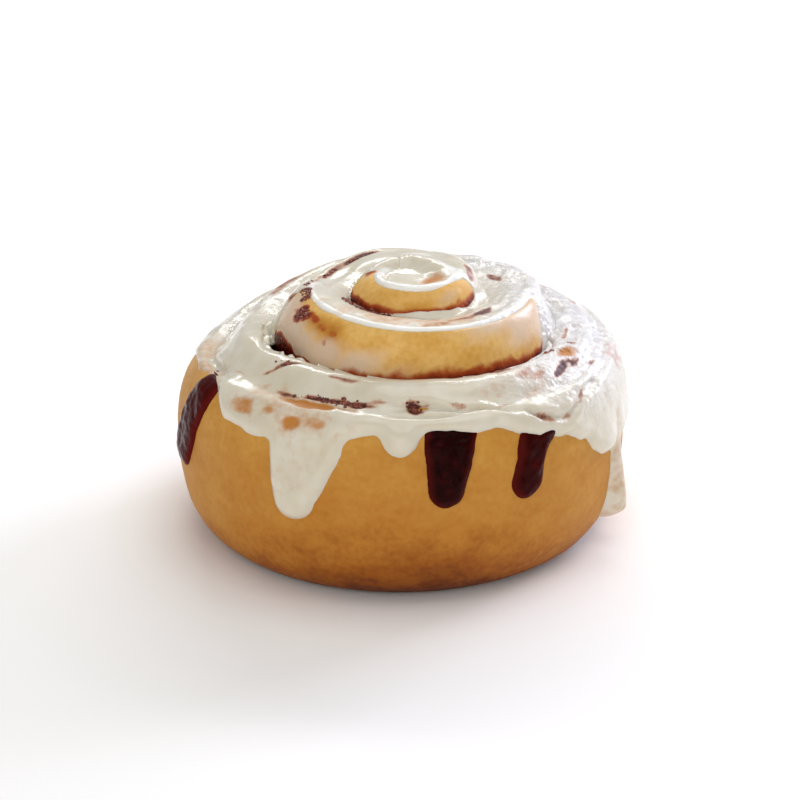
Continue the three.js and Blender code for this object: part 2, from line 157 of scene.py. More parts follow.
@dataclass(frozen=True)
class RollForm:
    """The sizes of the roll in mm and the surfaces that follow from them."""

    line_rise: float = 24.04
    line_slowing: float = 2.57
    strip_start: float = 0.25
    strip_end: float = 4.0 + 6.0 / 36.0
    outer_fade: float = 3.0 / 36.0
    tail_fade: float = 0.22
    eye_radius: float = 1.2
    half_gap: float = 0.9
    crevice_width: float = 2.2
    crevice_tuck: float = 1.7
    crevice_turn: float = 1.58
    crevice_spread: float = 0.09
    bulge_height: float = 25.2
    shoulder_top: float = 49.5
    shoulder_power: float = 10.0
    coil_rise: float = 17.0
    coil_rise_from: float = 0.8
    coil_rise_to: float = 0.45
    foot_ratio: float = 0.78
    foot_power: float = 2.4
    crest_top: float = 62.2
    crest_fall: float = 16.5
    crest_fall_start: float = 1.0
    crest_fall_turns: float = 2.6
    crest_blend: float = 1.2
    groove: float = 3.5
    seam: float = 2.5
    mean_radius: float = 54.0
    top_limit: float = 0.8
    wall_reach: float = 50.0
    wall_blend: float = 5.0
    crest_inner: float = 0.6
    crest_outer: float = 0.42
    crest_sway: float = 0.2
    sway_fade: float = 0.8
    crest_lean: float = 0.13
    lean_turns: tuple[float, float] = (0.76, 1.77)
    lean_spread: float = 0.13
    sag_back: tuple[float, float, float] = (80.0, 62.0, 1.8)
    sag_left: tuple[float, float, float] = (158.0, 34.0, 3.6)
    sag_outer: tuple[float, float, float] = (162.0, 31.0, 5.2)
    sag_from: float = 22.0
    sag_full: float = 48.0

    @property
    def outer_start(self) -> float:
        """The turn at which the strip becomes the outer wall."""
        return self.strip_end - 1.0

    def line_radius(self, turn: Array) -> Array:
        """Gives the filling's radius: rise times the turn, less slowing times its square."""
        return np.where(turn > 0.0, self.line_rise * turn - self.line_slowing * turn * turn, 0.0)

    def turn_at(self, radius: Array) -> Array:
        """Gives the turn whose filling lies at a radius, the inverse of line_radius."""
        root = np.sqrt(np.maximum(self.line_rise**2 - 4.0 * self.line_slowing * radius, 0.0))
        return (self.line_rise - root) / (2.0 * self.line_slowing)

    def wall_radius(self, azimuth: Array) -> Array:
        """Gives the widest radius of the wall: the last turn's, thinned down at the tail."""
        start = self.outer_start + self.outer_fade
        along = (azimuth - start) % 1.0
        tail = smooth((along - 1.0 + self.tail_fade) / self.tail_fade)
        return mix(self.line_radius(start + along), self.line_radius(np.array(start)), tail)

    def shoulder_height(self, ratio: Array) -> Array:
        """Gives the height that no crest passes, a superellipse that rises over the coils."""
        rest = np.maximum(1.0 - np.minimum(ratio, 1.0) ** self.shoulder_power, 0.0)
        inward = smooth((ratio - self.coil_rise_from) / (self.coil_rise_to - self.coil_rise_from))
        span = self.shoulder_top - self.bulge_height + self.coil_rise * inward
        return self.bulge_height + span * np.sqrt(rest)

    def foot_height(self, ratio: Array) -> Array:
        """Gives the underside's height: flat to foot_ratio, then up a superellipse."""
        x = np.clip((ratio - self.foot_ratio) / (1.0 - self.foot_ratio), 0.0, 1.0)
        return self.bulge_height * rounded_dip(x, self.foot_power)

    def wall_ratio(self, height: Array) -> Array:
        """Gives the share of the wall radius that the wall has at a height."""
        low = np.clip(1.0 - height / self.bulge_height, 0.0, 1.0)
        under = 1.0 - rounded_dip(low, self.foot_power)
        high = np.clip((height - self.bulge_height) / (self.shoulder_top - self.bulge_height), 0.0, 1.0)
        over = np.maximum(1.0 - high * high, 0.0) ** (1.0 / self.shoulder_power)
        return np.where(height < self.bulge_height, mix(self.foot_ratio, 1.0, under), over)

    def crest_height(self, turn: Array) -> Array:
        """Gives the height of a coil's crest, which falls smoothly from the middle outwards."""
        fall = smooth((turn - self.crest_fall_start) / self.crest_fall_turns)
        return self.crest_top - self.crest_fall * fall

    def crest_place(self, turn: Array) -> Array:
        """Gives where the crest lies across the strip, 0 at its inner side.

        It sways with each turn, ever less, and leans out where the two inner coils lean
        to the front.
        """
        sway = self.crest_sway * np.exp(-self.sway_fade * (turn - 0.5)) * np.cos(TAU * turn)
        lean = self.crest_lean * sum(bump(turn - centre, self.lean_spread) for centre in self.lean_turns)
        return mix(self.crest_inner, self.crest_outer, smooth((turn - 2.1) / 0.4)) + sway + lean

    def groove_depth(self, turn: Array) -> Array:
        """Gives the depth of the groove at a line, less at the outer seam."""
        return mix(self.groove, self.seam, smooth((turn - 2.0) / 0.5))

    def last_turn(self, turn: Array) -> Array:
        """Gives 0 on the inner turns and 1 where the strip is the outer wall."""
        return smooth((turn - self.outer_start) / self.outer_fade)

    def crevice(self, turn: Array) -> Array:
        """Gives the extra width of the gap beside the second coil."""
        return self.crevice_width * bump(turn - self.crevice_turn, self.crevice_spread)

    def dough_sides(self, turn: Array, wall: Array) -> tuple[Array, Array]:
        """Gives the radii of the dough's inner and outer side, clear of the filling."""
        inner = self.line_radius(turn - 1.0) + self.half_gap + self.crevice(turn - 1.0)
        tuck = self.crevice_tuck * bump(turn - self.crevice_turn, self.crevice_spread / 2.0)
        outer = mix(self.line_radius(turn) - self.half_gap - tuck, wall, self.last_turn(turn))
        return np.maximum(inner, self.eye_radius), outer

    def fallen(self, turn: Array, height: Array) -> Array:
        """Gives the share of its fall from crest to outer line that a coil's face has made."""
        crest = self.crest_height(turn)
        limit = self.shoulder_height(self.line_radius(turn) / self.mean_radius)
        line = soft_min(self.crest_height(turn + 1.0), limit, self.crest_blend) - self.groove_depth(turn)
        return (crest - height) / (crest - line)

    def baked_top(self, turn: Array, across: Array, ratio: Array) -> Array:
        """Gives the height of the baked dough: a crest with full grooves, steep at the lines."""
        inner, outer = self._falls(turn, across)
        return self._top(turn, across, ratio, 1.0, rounded_dip(inner, 2.2), rounded_dip(outer, 1.6))

    def poured_top(self, turn: Array, across: Array, ratio: Array, groove: Array) -> Array:
        """Gives the height of what is poured over it: shallow, rounded grooves."""
        inner, outer = self._falls(turn, across)
        return self._top(turn, across, ratio, groove, smooth(inner**1.6), smooth(outer**1.25))

    def _falls(self, turn: Array, across: Array) -> tuple[Array, Array]:
        """Gives how far a place is from the crest to the inner and to the outer line, 0 to 1."""
        place = self.crest_place(turn)
        return (np.clip((place - across) / place, 0.0, 1.0),
                np.clip((across - place) / (1.0 - place), 0.0, 1.0))

    def _top(self, turn: Array, across: Array, ratio: Array, groove: Array,
             inner: Array, outer: Array) -> Array:
        """Gives the crest less the inner fall, or run over to the next crest's groove."""
        limit = self.shoulder_height(ratio)
        crest = soft_min(self.crest_height(turn), limit, self.crest_blend)
        after = soft_min(self.crest_height(turn + 1.0), limit, self.crest_blend)
        after = after - groove * self.groove_depth(turn)
        inside = crest - groove * self.groove_depth(turn - 1.0) * inner
        outside = mix(crest, after, outer * (1.0 - self.last_turn(turn)))
        return np.where(across <= self.crest_place(turn), inside, outside)

    def strip_place(self, radius: Array, azimuth: Array) -> tuple[Array, Array]:
        """Finds the strip at a place seen from above.

        Args:
            radius: Distance from the axis in mm.
            azimuth: Direction in turns, from 0 to 1.

        Returns:
            The strip's turn there, and how far across it the place lies, 0 to 1.
        """
        wall = self.wall_radius(azimuth)
        below = np.floor(self.turn_at(np.minimum(radius, wall)) - azimuth)
        last = np.where(azimuth < self.outer_start - 3.0, 4.0, 3.0)
        turn = azimuth + np.minimum(below + 1.0, last)
        inner = self.line_radius(turn - 1.0)
        outer = mix(self.line_radius(turn), wall, self.last_turn(turn))
        return turn, np.clip((radius - inner) / np.maximum(outer - inner, 1e-6), 0.0, 1.0)

    def sunk(self, points: Array) -> Array:
        """Gives places lowered where the risen top has sunk again.

        Each sag is a centre and a width in degrees and a depth in mm. Two lie over the
        inner coils and one over the outer turn, and they grow with the height.
        """
        x, y, z = np.moveaxis(points, -1, 0)
        degrees, radius = np.degrees(np.arctan2(y, x)), np.hypot(x, y)
        back, left, outer = (depth * bump(turns_between(degrees, centre), width)
                             for centre, width, depth in (self.sag_back, self.sag_left, self.sag_outer))
        inner = (back + left) * smooth((radius - 8.0) / 9.0)
        deep = mix(inner, outer, smooth((radius - 30.0) / 10.0))
        deep = deep * smooth((z - self.sag_from) / (self.sag_full - self.sag_from))
        return np.stack([x, y, z - deep], axis=-1)

    def relief(self, points: Array) -> Array:
        """Gives how far the crust stands out in mm: slow swells and fine wrinkles."""
        swell = 0.22 * RELIEF_NOISE.at(points * (1.0, 1.0, 1.6), 17.0)
        wrinkle = 0.09 * RELIEF_NOISE.layered(points, 4.5, 2)
        return (swell + wrinkle) * smooth(points[..., 2] / 6.0)


FORM = RollForm()


class SkinProfile:
    """The way from the axis over the shoulder and down the wall, by its length in mm."""

    FLAT_POINTS = 119
    SHOULDER_POINTS = 300
    WALL_POINTS = 259
    WALL_HEIGHT = 42.0
    WALL_RATIO = 0.7

    def __init__(self, form: RollForm) -> None:
        """Measures the way along the mean wall.

        Args:
            form: The roll's sizes.
        """
        flat = np.linspace(0.0, form.top_limit, self.FLAT_POINTS + 1)
        rise = math.sqrt(1.0 - form.top_limit**form.shoulder_power)
        tilt = np.linspace(math.asin(rise), 0.0, self.SHOULDER_POINTS)
        shoulder = np.cos(tilt) ** (2.0 / form.shoulder_power)
        over = form.bulge_height + (form.shoulder_top - form.bulge_height) * np.sin(tilt)
        under = np.linspace(form.bulge_height, 0.0, self.WALL_POINTS + 1)[1:]
        self.ratio = np.concatenate([flat[:-1], shoulder, form.wall_ratio(under)])
        self.height = np.concatenate([np.full(self.FLAT_POINTS, over[0]), over, under])
        step = np.hypot(np.diff(self.ratio) * form.mean_radius, np.diff(self.height))
        self.reach = np.concatenate([[0.0], np.cumsum(step)])

    def reach_at(self, height: Array) -> Array:
        """Gives the length to a height on the shoulder or the wall."""
        return np.interp(-height, -self.height[self.FLAT_POINTS:], self.reach[self.FLAT_POINTS:])

    def reach_of(self, ratio: Array, height: Array) -> Array:
        """Gives the length to a place, by its height on the wall and its ratio on the top."""
        by_height = self.reach_at(height)
        peak = int(np.argmax(self.ratio))
        by_ratio = np.interp(ratio, self.ratio[:peak + 1], self.reach[:peak + 1])
        on_wall = (height < self.WALL_HEIGHT) & (ratio > self.WALL_RATIO)
        return np.where(on_wall, by_height, by_ratio)


PROFILE = SkinProfile(FORM)


@dataclass(frozen=True)
class Place:
    """The model's axis in its own frame, so that pieces fall where the solids are."""

    x: float
    y: float

    @classmethod
    def of_dough(cls, steps_per_turn: int = 36) -> "Place":
        """Finds the axis from the dough's box.

        Args:
            steps_per_turn: The steps at which the solid's wall is cut.

        Returns:
            The axis, in mm.
        """
        azimuth = np.arange(steps_per_turn) / steps_per_turn
        wall = FORM.wall_radius(azimuth)
        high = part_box("dough")[1]
        return cls(high.x / MM - (wall * np.cos(TAU * azimuth)).max(),
                   high.y / MM - (wall * np.sin(TAU * azimuth)).max())

    def metres(self, points: Array) -> Array:
        """Gives points in the model's frame, in metres."""
        return (points + (self.x, self.y, 0.0)) * MM


PLACE = Place.of_dough()


# Meshes

def plan(radius: Array, azimuth: Array, height: Array) -> Array:
    """Gives x, y, z from radius, azimuth in turns and height."""
    return np.stack([radius * np.cos(TAU * azimuth), radius * np.sin(TAU * azimuth),
                     height * np.ones_like(radius)], axis=-1)


def grid_normals(points: Array, wrap: bool) -> Array:
    """Gives unit normals of a grid, the first axis crossed with the second.

    Args:
        points: A grid of places.
        wrap: True if the grid's first axis closes on itself.

    Returns:
        A grid of unit vectors.
    """
    if wrap:
        first = np.roll(points, -1, 0) - np.roll(points, 1, 0)
    else:
        first = np.gradient(points, axis=0)
    normals = np.cross(first, np.gradient(points, axis=1))
    return normals / np.maximum(np.linalg.norm(normals, axis=-1, keepdims=True), 1e-9)


def grid_quads(rows: int, columns: int, wrap_rows: bool, wrap_columns: bool) -> Array:
    """Gives the quads of a grid whose vertices are numbered row by row.

    Args:
        rows: The number of rows.
        columns: The number of vertices in a row.
        wrap_rows: True if the last row meets the first.
        wrap_columns: True if the last column meets the first.

    Returns:
        An array of four vertex numbers for each quad.
    """
    index = np.arange(rows * columns).reshape(rows, columns)
    if wrap_rows:
        index = np.vstack([index, index[:1]])
    if wrap_columns:
        index = np.hstack([index, index[:, :1]])
    corners = (index[:-1, :-1], index[1:, :-1], index[1:, 1:], index[:-1, 1:])
    return np.stack(corners, axis=-1).reshape(-1, 4)


@dataclass
class CutSheet:
    """The part of a grid where a field is above 0, its edge drawn on to the line at 0.

    A vertex within about half a cell of the line is moved on to it. For a field f whose
    slope by central differences is g, in steps of the grid, the move is -f g / |g|^2.
    NEAR_SQUARED is the square of the longest move, in cells.
    """

    NEAR_SQUARED = 0.27

    inside: Array
    wrap: bool
    faces: list[Array] = field(init=False)
    moves: list[Array] = field(init=False)

    def __post_init__(self) -> None:
        """Works out the moves and the kept quads, and a triangle where one corner is out."""
        slopes = [self._slope(self.inside, axis) for axis in (0, 1)]
        steep = np.maximum(slopes[0] ** 2 + slopes[1] ** 2, 1e-9)
        near = self.inside**2 <= self.NEAR_SQUARED * steep
        self.moves = [np.where(near, -self.inside * slope / steep, 0.0) for slope in slopes]
        quads = grid_quads(*self.inside.shape, self.wrap, False)
        out = ((self.inside < 0.0) & ~near).ravel()[quads]
        core = ((self.inside > 0.0) & ~near).ravel()[quads].any(axis=1)
        count = out.sum(axis=1)
        partly = (count == 1) & core
        after = (out[partly].argmax(axis=1)[:, None] + np.arange(1, 4)) % 4
        triangles = np.take_along_axis(quads[partly], after, axis=1)
        whole = core[partly] & (((self.inside > 0.0) & ~near).ravel()[triangles].any(axis=1))
        self.faces = [quads[(count == 0) & core], triangles[whole]]

    def _slope(self, values: Array, axis: int) -> Array:
        """Gives the central differences of values along an axis of the grid."""
        if axis == 0 and self.wrap:
            return (np.roll(values, -1, 0) - np.roll(values, 1, 0)) / 2.0
        return np.gradient(values, axis=axis)

    def moved(self, values: Array) -> Array:
        """Gives values at the moved vertices: each plus its slope times the move."""
        extra = (1,) * (values.ndim - 2)
        return values + sum(self._slope(values, axis) * move.reshape(*move.shape, *extra)
                            for axis, move in enumerate(self.moves))


def shell_faces(outer: Sequence[Array], sheet: int) -> list[Array]:
    """Closes a sheet's faces into a shell.

    The second sheet has the same faces turned over, its vertices numbered after the
    first's, and a wall of quads stands along each edge that only one face has.

    Args:
        outer: The faces of the outer sheet, all turning the same way.
        sheet: The number of vertices in a sheet.

    Returns:
        The faces of the outer sheet, the inner sheet and the wall.
    """
    first = np.concatenate([faces.ravel() for faces in outer])
    second = np.concatenate([np.roll(faces, -1, axis=1).ravel() for faces in outer])
    alone = ~np.isin(first * sheet + second, second * sheet + first)
    a, b = first[alone], second[alone]
    wall = np.stack([b, a, a + sheet, b + sheet], axis=-1)
    return [*outer, *(faces[:, ::-1] + sheet for faces in outer), wall]


def make_piece(name: str, points: Array, faces: Sequence, marks: dict[str, Array],
               material: bpy.types.Material) -> bpy.types.Object:
    """Puts a shape into a mesh object.

    Args:
        name: The piece's name.
        points: Its vertices in mm round the roll's axis.
        faces: Lists of vertex numbers.
        marks: Values for each vertex, kept as attributes of those names.
        material: Its finish.

    Returns:
        The object, at the origin, with its place in its mesh.
    """
    used = np.unique(np.concatenate([np.asarray(face).ravel() for face in faces]))
    renumber = np.full(len(points), -1)
    renumber[used] = np.arange(len(used))
    polygons = [row for face in faces for row in renumber[np.asarray(face)].tolist()]
    mesh = bpy.data.meshes.new(name)
    mesh.from_pydata(PLACE.metres(FORM.sunk(points[used])), [], polygons)
    for mark, values in marks.items():
        layer = mesh.attributes.new(mark, "FLOAT", "POINT")
        layer.data.foreach_set("value", np.asarray(values, dtype=np.float32)[used])
    mesh.polygons.foreach_set("use_smooth", np.ones(len(mesh.polygons), dtype=bool))
    mesh.materials.append(material)
    mesh.update()
    piece = bpy.data.objects.new(name, mesh)
    bpy.context.scene.collection.objects.link(piece)
    LOG.info("%s: %d vertices, %d faces", name, len(mesh.vertices), len(mesh.polygons))
    return piece


# Places on the skin

@dataclass(frozen=True)
class Patch:
    """A soft-edged oval on the skin, such as a smear or a thin place in the icing."""

    azimuth: float
    reach: float
    length: float
    width: float
    tilt: float = 0.0
    strength: float = 1.0

    def weight(self, degrees: Array, reach: Array, wobble: Array, soft: bool) -> Array:
        """Gives the patch's strength at places.

        Distance is measured as in an ellipse, in lengths along the azimuth and widths
        along the reach, turned by tilt, and the edge is shifted by wobble.

        Args:
            degrees: Azimuth in degrees.
            reach: Length from the axis along the skin, in mm.
            wobble: A noise that makes the edge uneven.
            soft: True for a bell over the distance in place of an edge.

        Returns:
            Values from 0 to strength.
        """
        around = min(self.reach, FORM.mean_radius) * TAU / 360.0
        x = turns_between(degrees, self.azimuth) * around
        y = reach - self.reach
        cosine, sine = math.cos(math.radians(self.tilt)), math.sin(math.radians(self.tilt))
        far = np.hypot((x * cosine + y * sine) / self.length, (y * cosine - x * sine) / self.width)
        if soft:
            return self.strength * bump(far * (1.0 + 0.2 * wobble), 1.1)
        return self.strength * smooth(1.5 - far + 0.55 * wobble)


def painted(patches: Sequence[Patch], degrees: Array, reach: Array, wobble: Array,
            soft: bool = False) -> Array:
    """Gives the strongest of several patches at each place, soft ones by a bell."""
    return np.max([patch.weight(degrees, reach, wobble, soft) for patch in patches], axis=0)


@dataclass(frozen=True)
class Run:
    """A run of icing or syrup down the wall: a tapered capsule from root to tip.

    root and tip are azimuth in degrees and height in mm, the widths are half widths in mm.
    """

    root: tuple[float, float]
    tip: tuple[float, float]
    widths: tuple[float, float]
    thick: float

    def inside(self, degrees: Array, height: Array, radius: Array) -> Array:
        """Gives how far places lie inside the run, in mm, negative outside.

        It is the half width at the nearest point of the line from root to tip, less the
        distance to that point.
        """
        arc = TAU / 360.0 * radius
        x = turns_between(degrees, self.root[0]) * arc
        z = height - self.root[1]
        dx = float(turns_between(np.array(self.tip[0]), self.root[0])) * arc
        dz = self.tip[1] - self.root[1]
        t = np.clip((x * dx + z * dz) / (dx * dx + dz * dz), 0.0, 1.0)
        return mix(self.widths[0], self.widths[1], t) - np.hypot(x - t * dx, z - t * dz)


def levelled(height: Array, radius: Array, length: float) -> Array:
    """Smooths heights round each circle of a grid, as a thick liquid does.

    Each harmonic n of a circle is weakened by exp(-(n length / radius)^2 / 2), a Gaussian
    blur of that length in mm.

    Args:
        height: Heights, the first axis going once round.
        radius: The radius at each place.
        length: How far the blur reaches, in mm.

    Returns:
        The smoothed heights.
    """
    waves = np.arange(height.shape[0] // 2 + 1)[:, None]
    spread = waves * length / np.maximum(radius.mean(axis=0), 0.05)
    return np.fft.irfft(np.fft.rfft(height, axis=0) * np.exp(-0.5 * spread**2), height.shape[0], axis=0)


def interpolated(levels: Sequence[tuple[float, float]], degrees: Array) -> Array:
    """Gives a value round the circle that eases from one (azimuth, value) to the next."""
    first = levels[0]
    angles = np.array([angle for angle, _ in levels] + [360.0 + first[0]])
    values = np.array([value for _, value in levels] + [first[1]])
    place = (degrees - first[0]) % 360.0 + first[0]
    after = np.clip(np.searchsorted(angles, place, side="right"), 1, len(angles) - 1)
    share = (place - angles[after - 1]) / (angles[after] - angles[after - 1])
    return mix(values[after - 1], values[after], smooth(share))


@dataclass(frozen=True)
class Cup:
    """The hollow in the middle of the top, inside the rim of the innermost coil."""

    level: float = 62.4
    depth: float = 2.0
    tilt: float = 0.15
    rim: tuple[tuple[float, float], ...] = (
        (0, 14.2), (20, 12.0), (45, 9.4), (90, 6.6), (150, 5.8), (189, 6.4), (225, 7.6),
        (240, 9.4), (255, 11.2), (275, 12.6), (302, 14.7), (326, 16.0), (340, 16.0))

    def pressed(self, height: Array, radius: Array, degrees: Array) -> Array:
        """Gives the icing's heights, which run smoothly down into the hollow."""
        share = radius / interpolated(self.rim, degrees)
        return mix(self._bowl(share, radius, degrees), height, smooth((share - 0.8) / 0.22))

    def under(self, height: Array, radius: Array, degrees: Array) -> Array:
        """Gives the dough's heights, nowhere above the hollow's floor inside the rim."""
        share = radius / interpolated(self.rim, degrees)
        clear = 14.0 * np.maximum(share - 0.7, 0.0) - 0.7
        return np.minimum(height, self._bowl(share, radius, degrees) + clear)

    def _bowl(self, share: Array, radius: Array, degrees: Array) -> Array:
        """Gives the bowl's height: a flat floor up to a rim that rises to the back by tilt."""
        level = self.level + self.tilt * radius * np.maximum(np.sin(np.radians(degrees)), 0.0)
        return level - self.depth * (1.0 - smooth((share - 0.4) / 0.52))


CUP = Cup()


@dataclass
class Skin:
    """A grid over the roll's skin, by azimuth and by reach from the axis."""

    azimuth: Array
    reach: Array
    groove: Callable[[Array, Array], Array]
    wrap: bool = True
    level: float = 0.0
    degrees: Array = field(init=False)
    ratio: Array = field(init=False)
    height: Array = field(init=False)
    radius: Array = field(init=False)
    turn: Array = field(init=False)
    across: Array = field(init=False)
    points: Array = field(init=False)
    normals: Array = field(init=False)

    def __post_init__(self) -> None:
        """Works out the skin's places from azimuth and reach.

        The height over the top is the poured surface, or the baked one where groove is 1,
        and runs over into the wall's profile past the shoulder. The normals point up on
        the top and away from the axis on the wall.
        """
        self.azimuth, self.reach = np.meshgrid(self.azimuth, self.reach, indexing="ij")
        self.degrees = self.azimuth * 360.0
        self.ratio = np.interp(self.reach, PROFILE.reach, PROFILE.ratio)
        on_wall = np.interp(self.reach, PROFILE.reach, PROFILE.height)
        wall = FORM.wall_radius(self.azimuth)
        self.radius = self.ratio * wall
        self.turn, self.across = FORM.strip_place(self.radius, self.azimuth)
        groove = self.groove(self.degrees, self.reach)
        poured = FORM.poured_top(self.turn, self.across, self.ratio, groove)
        inner, outer = FORM.dough_sides(self.turn, wall)
        within = np.clip((self.radius - inner) / np.maximum(outer - inner, 1e-6), 0.0, 1.0)
        baked = FORM.baked_top(self.turn, within, self.ratio)
        on_top = mix(poured, baked, smooth((groove - 0.5) / 0.5))
        if self.level:
            calm = levelled(on_top, self.radius, self.level)
            on_top = mix(calm, on_top, smooth((groove - 0.7) / 0.3))
            on_top = CUP.pressed(on_top, self.radius, self.degrees)
        self.height = mix(on_top, on_wall, smooth((self.reach - FORM.wall_reach) / FORM.wall_blend))
        flat = plan(self.radius, self.azimuth, self.height)
        normals = -grid_normals(flat, self.wrap)
        outward = plan(self.ratio**4, self.azimuth, np.full_like(self.ratio, 0.2))
        facing = (normals * outward).sum(axis=-1, keepdims=True) + 1e-6
        self.normals = normals * np.sign(facing)
        self.points = flat + self.normals * FORM.relief(flat)[..., None]

    def lifted(self, lift: Array) -> Array:
        """Gives the skin's points raised along its normals by lift in mm."""
        return self.points + self.normals * lift[..., None]


# Finishes

def linear(colour: str) -> tuple[float, float, float, float]:
    """Turns an sRGB hex colour such as #C08040 into linear red, green, blue and alpha."""
    channels = [int(colour[i:i + 2], 16) / 255.0 for i in (1, 3, 5)]
    values = [c / 12.92 if c <= 0.04045 else ((c + 0.055) / 1.055) ** 2.4 for c in channels]
    return (*values, 1.0)


def feed(tree: bpy.types.NodeTree, node: bpy.types.Node, inputs: dict) -> None:
    """Links sockets to a node's inputs, or sets them to numbers or sRGB hex colours.

    Args:
        tree: The material's node tree.
        node: The node.
        inputs: Values by the input's number, or by its name with _ for a space.
    """
    for key, value in inputs.items():
        socket = node.inputs[key.replace("_", " ") if isinstance(key, str) else key]
        if isinstance(value, Socket):
            tree.links.new(value, socket)
        else:
            socket.default_value = linear(value) if isinstance(value, str) else value


def add_node(tree: bpy.types.NodeTree, kind: str, settings: dict | None = None,
             **inputs: object) -> bpy.types.Node:
    """Adds a shader node.

    Args:
        tree: The material's node tree.
        kind: The node's type name.
        settings: Properties to set on the node.
        **inputs: Values or sockets for its inputs, named as in the node with _ for a space.

    Returns:
        The node.
    """
    node = tree.nodes.new(kind)
    for key, value in (settings or {}).items():
        setattr(node, key, value)
    feed(tree, node, inputs)
    return node


class Operation(Enum):
    """How two numbers in a material are put together."""

    ADD = "ADD"
    MULTIPLY = "MULTIPLY"
    MAXIMUM = "MAXIMUM"


@dataclass(frozen=True)
class Graph:
    """The nodes of one material: a principled shader, and patterns on Object coordinates."""

    tree: bpy.types.NodeTree
    shader: bpy.types.Node
    place: Socket

    def noise(self, size: float, detail: float = 2.0,
              stretch: tuple[float, float, float] = (1, 1, 1)) -> Socket:
        """Gives a noise whose blobs are about size in mm."""
        mapped = add_node(self.tree, "ShaderNodeMapping", Vector=self.place, Scale=stretch)
        return add_node(self.tree, "ShaderNodeTexNoise", Vector=mapped.outputs["Vector"],
                        Scale=1.0 / (size * MM), Detail=detail).outputs["Fac"]

    def mark(self, name: str) -> Socket:
        """Gives a mesh attribute as a number."""
        return add_node(self.tree, "ShaderNodeAttribute", {"attribute_name": name}).outputs["Fac"]

    def ramp(self, factor: Socket, stops: Sequence[tuple[float, str]]) -> Socket:
        """Gives a colour that runs through stops of (place, sRGB hex)."""
        node = add_node(self.tree, "ShaderNodeValToRGB", Fac=factor)
        elements = node.color_ramp.elements
        while len(elements) < len(stops):
            elements.new(1.0)
        for element, (place, colour) in zip(elements, stops):
            element.position = place
            element.color = linear(colour)
        return node.outputs["Color"]

    def sharpen(self, value: Socket, low: float, high: float, start: float = 0.0,
                end: float = 1.0) -> Socket:
        """Gives a value stretched from low..high to start..end, smooth at both ends."""
        node = add_node(self.tree, "ShaderNodeMapRange", {"interpolation_type": "SMOOTHSTEP"})
        feed(self.tree, node, dict(enumerate((value, low, high, start, end))))
        return node.outputs["Result"]

    def maths(self, operation: Operation, a: Socket, b: Socket) -> Socket:
        """Gives the sum, product or greater of two numbers."""
        node = add_node(self.tree, "ShaderNodeMath", {"operation": operation.value})
        feed(self.tree, node, {0: a, 1: b})
        return node.outputs[0]

    def over(self, share: Socket, below: Socket, above: str) -> Socket:
        """Gives a colour with an sRGB hex colour laid over it by share."""
        node = add_node(self.tree, "ShaderNodeMix", {"data_type": "RGBA"})
        feed(self.tree, node, {0: share, 6: below, 7: above})
        return node.outputs[2]

    def shade(self, **inputs: object) -> None:
        """Links or sets the shader's inputs, named with _ for a space."""
        feed(self.tree, self.shader, inputs)

    def raise_relief(self, layers: Sequence[tuple[Socket, float]]) -> None:
        """Adds bumps to the shader, each a pattern and its height in mm."""
        below = None
        for pattern, height in layers:
            node = add_node(self.tree, "ShaderNodeBump", Height=pattern, Distance=height * MM)
            if below is not None:
                self.tree.links.new(below, node.inputs["Normal"])
            below = node.outputs["Normal"]
        self.shade(Normal=below)


@dataclass(frozen=True)
class Finish:
    """A material, which each kind of finish dresses in its own way."""

    name: str

    def build(self) -> bpy.types.Material:
        """Makes the material."""
        material = bpy.data.materials.new(self.name)
        material.use_nodes = True
        tree = material.node_tree
        tree.nodes.clear()
        shader = add_node(tree, "ShaderNodeBsdfPrincipled")
        output = add_node(tree, "ShaderNodeOutputMaterial")
        tree.links.new(shader.outputs["BSDF"], output.inputs["Surface"])
        place = add_node(tree, "ShaderNodeTexCoord").outputs["Object"]
        self.dress(Graph(tree, shader, place))
        return material

    def dress(self, graph: Graph) -> None:
        """Sets the shader's colour, gloss and relief."""
        raise NotImplementedError


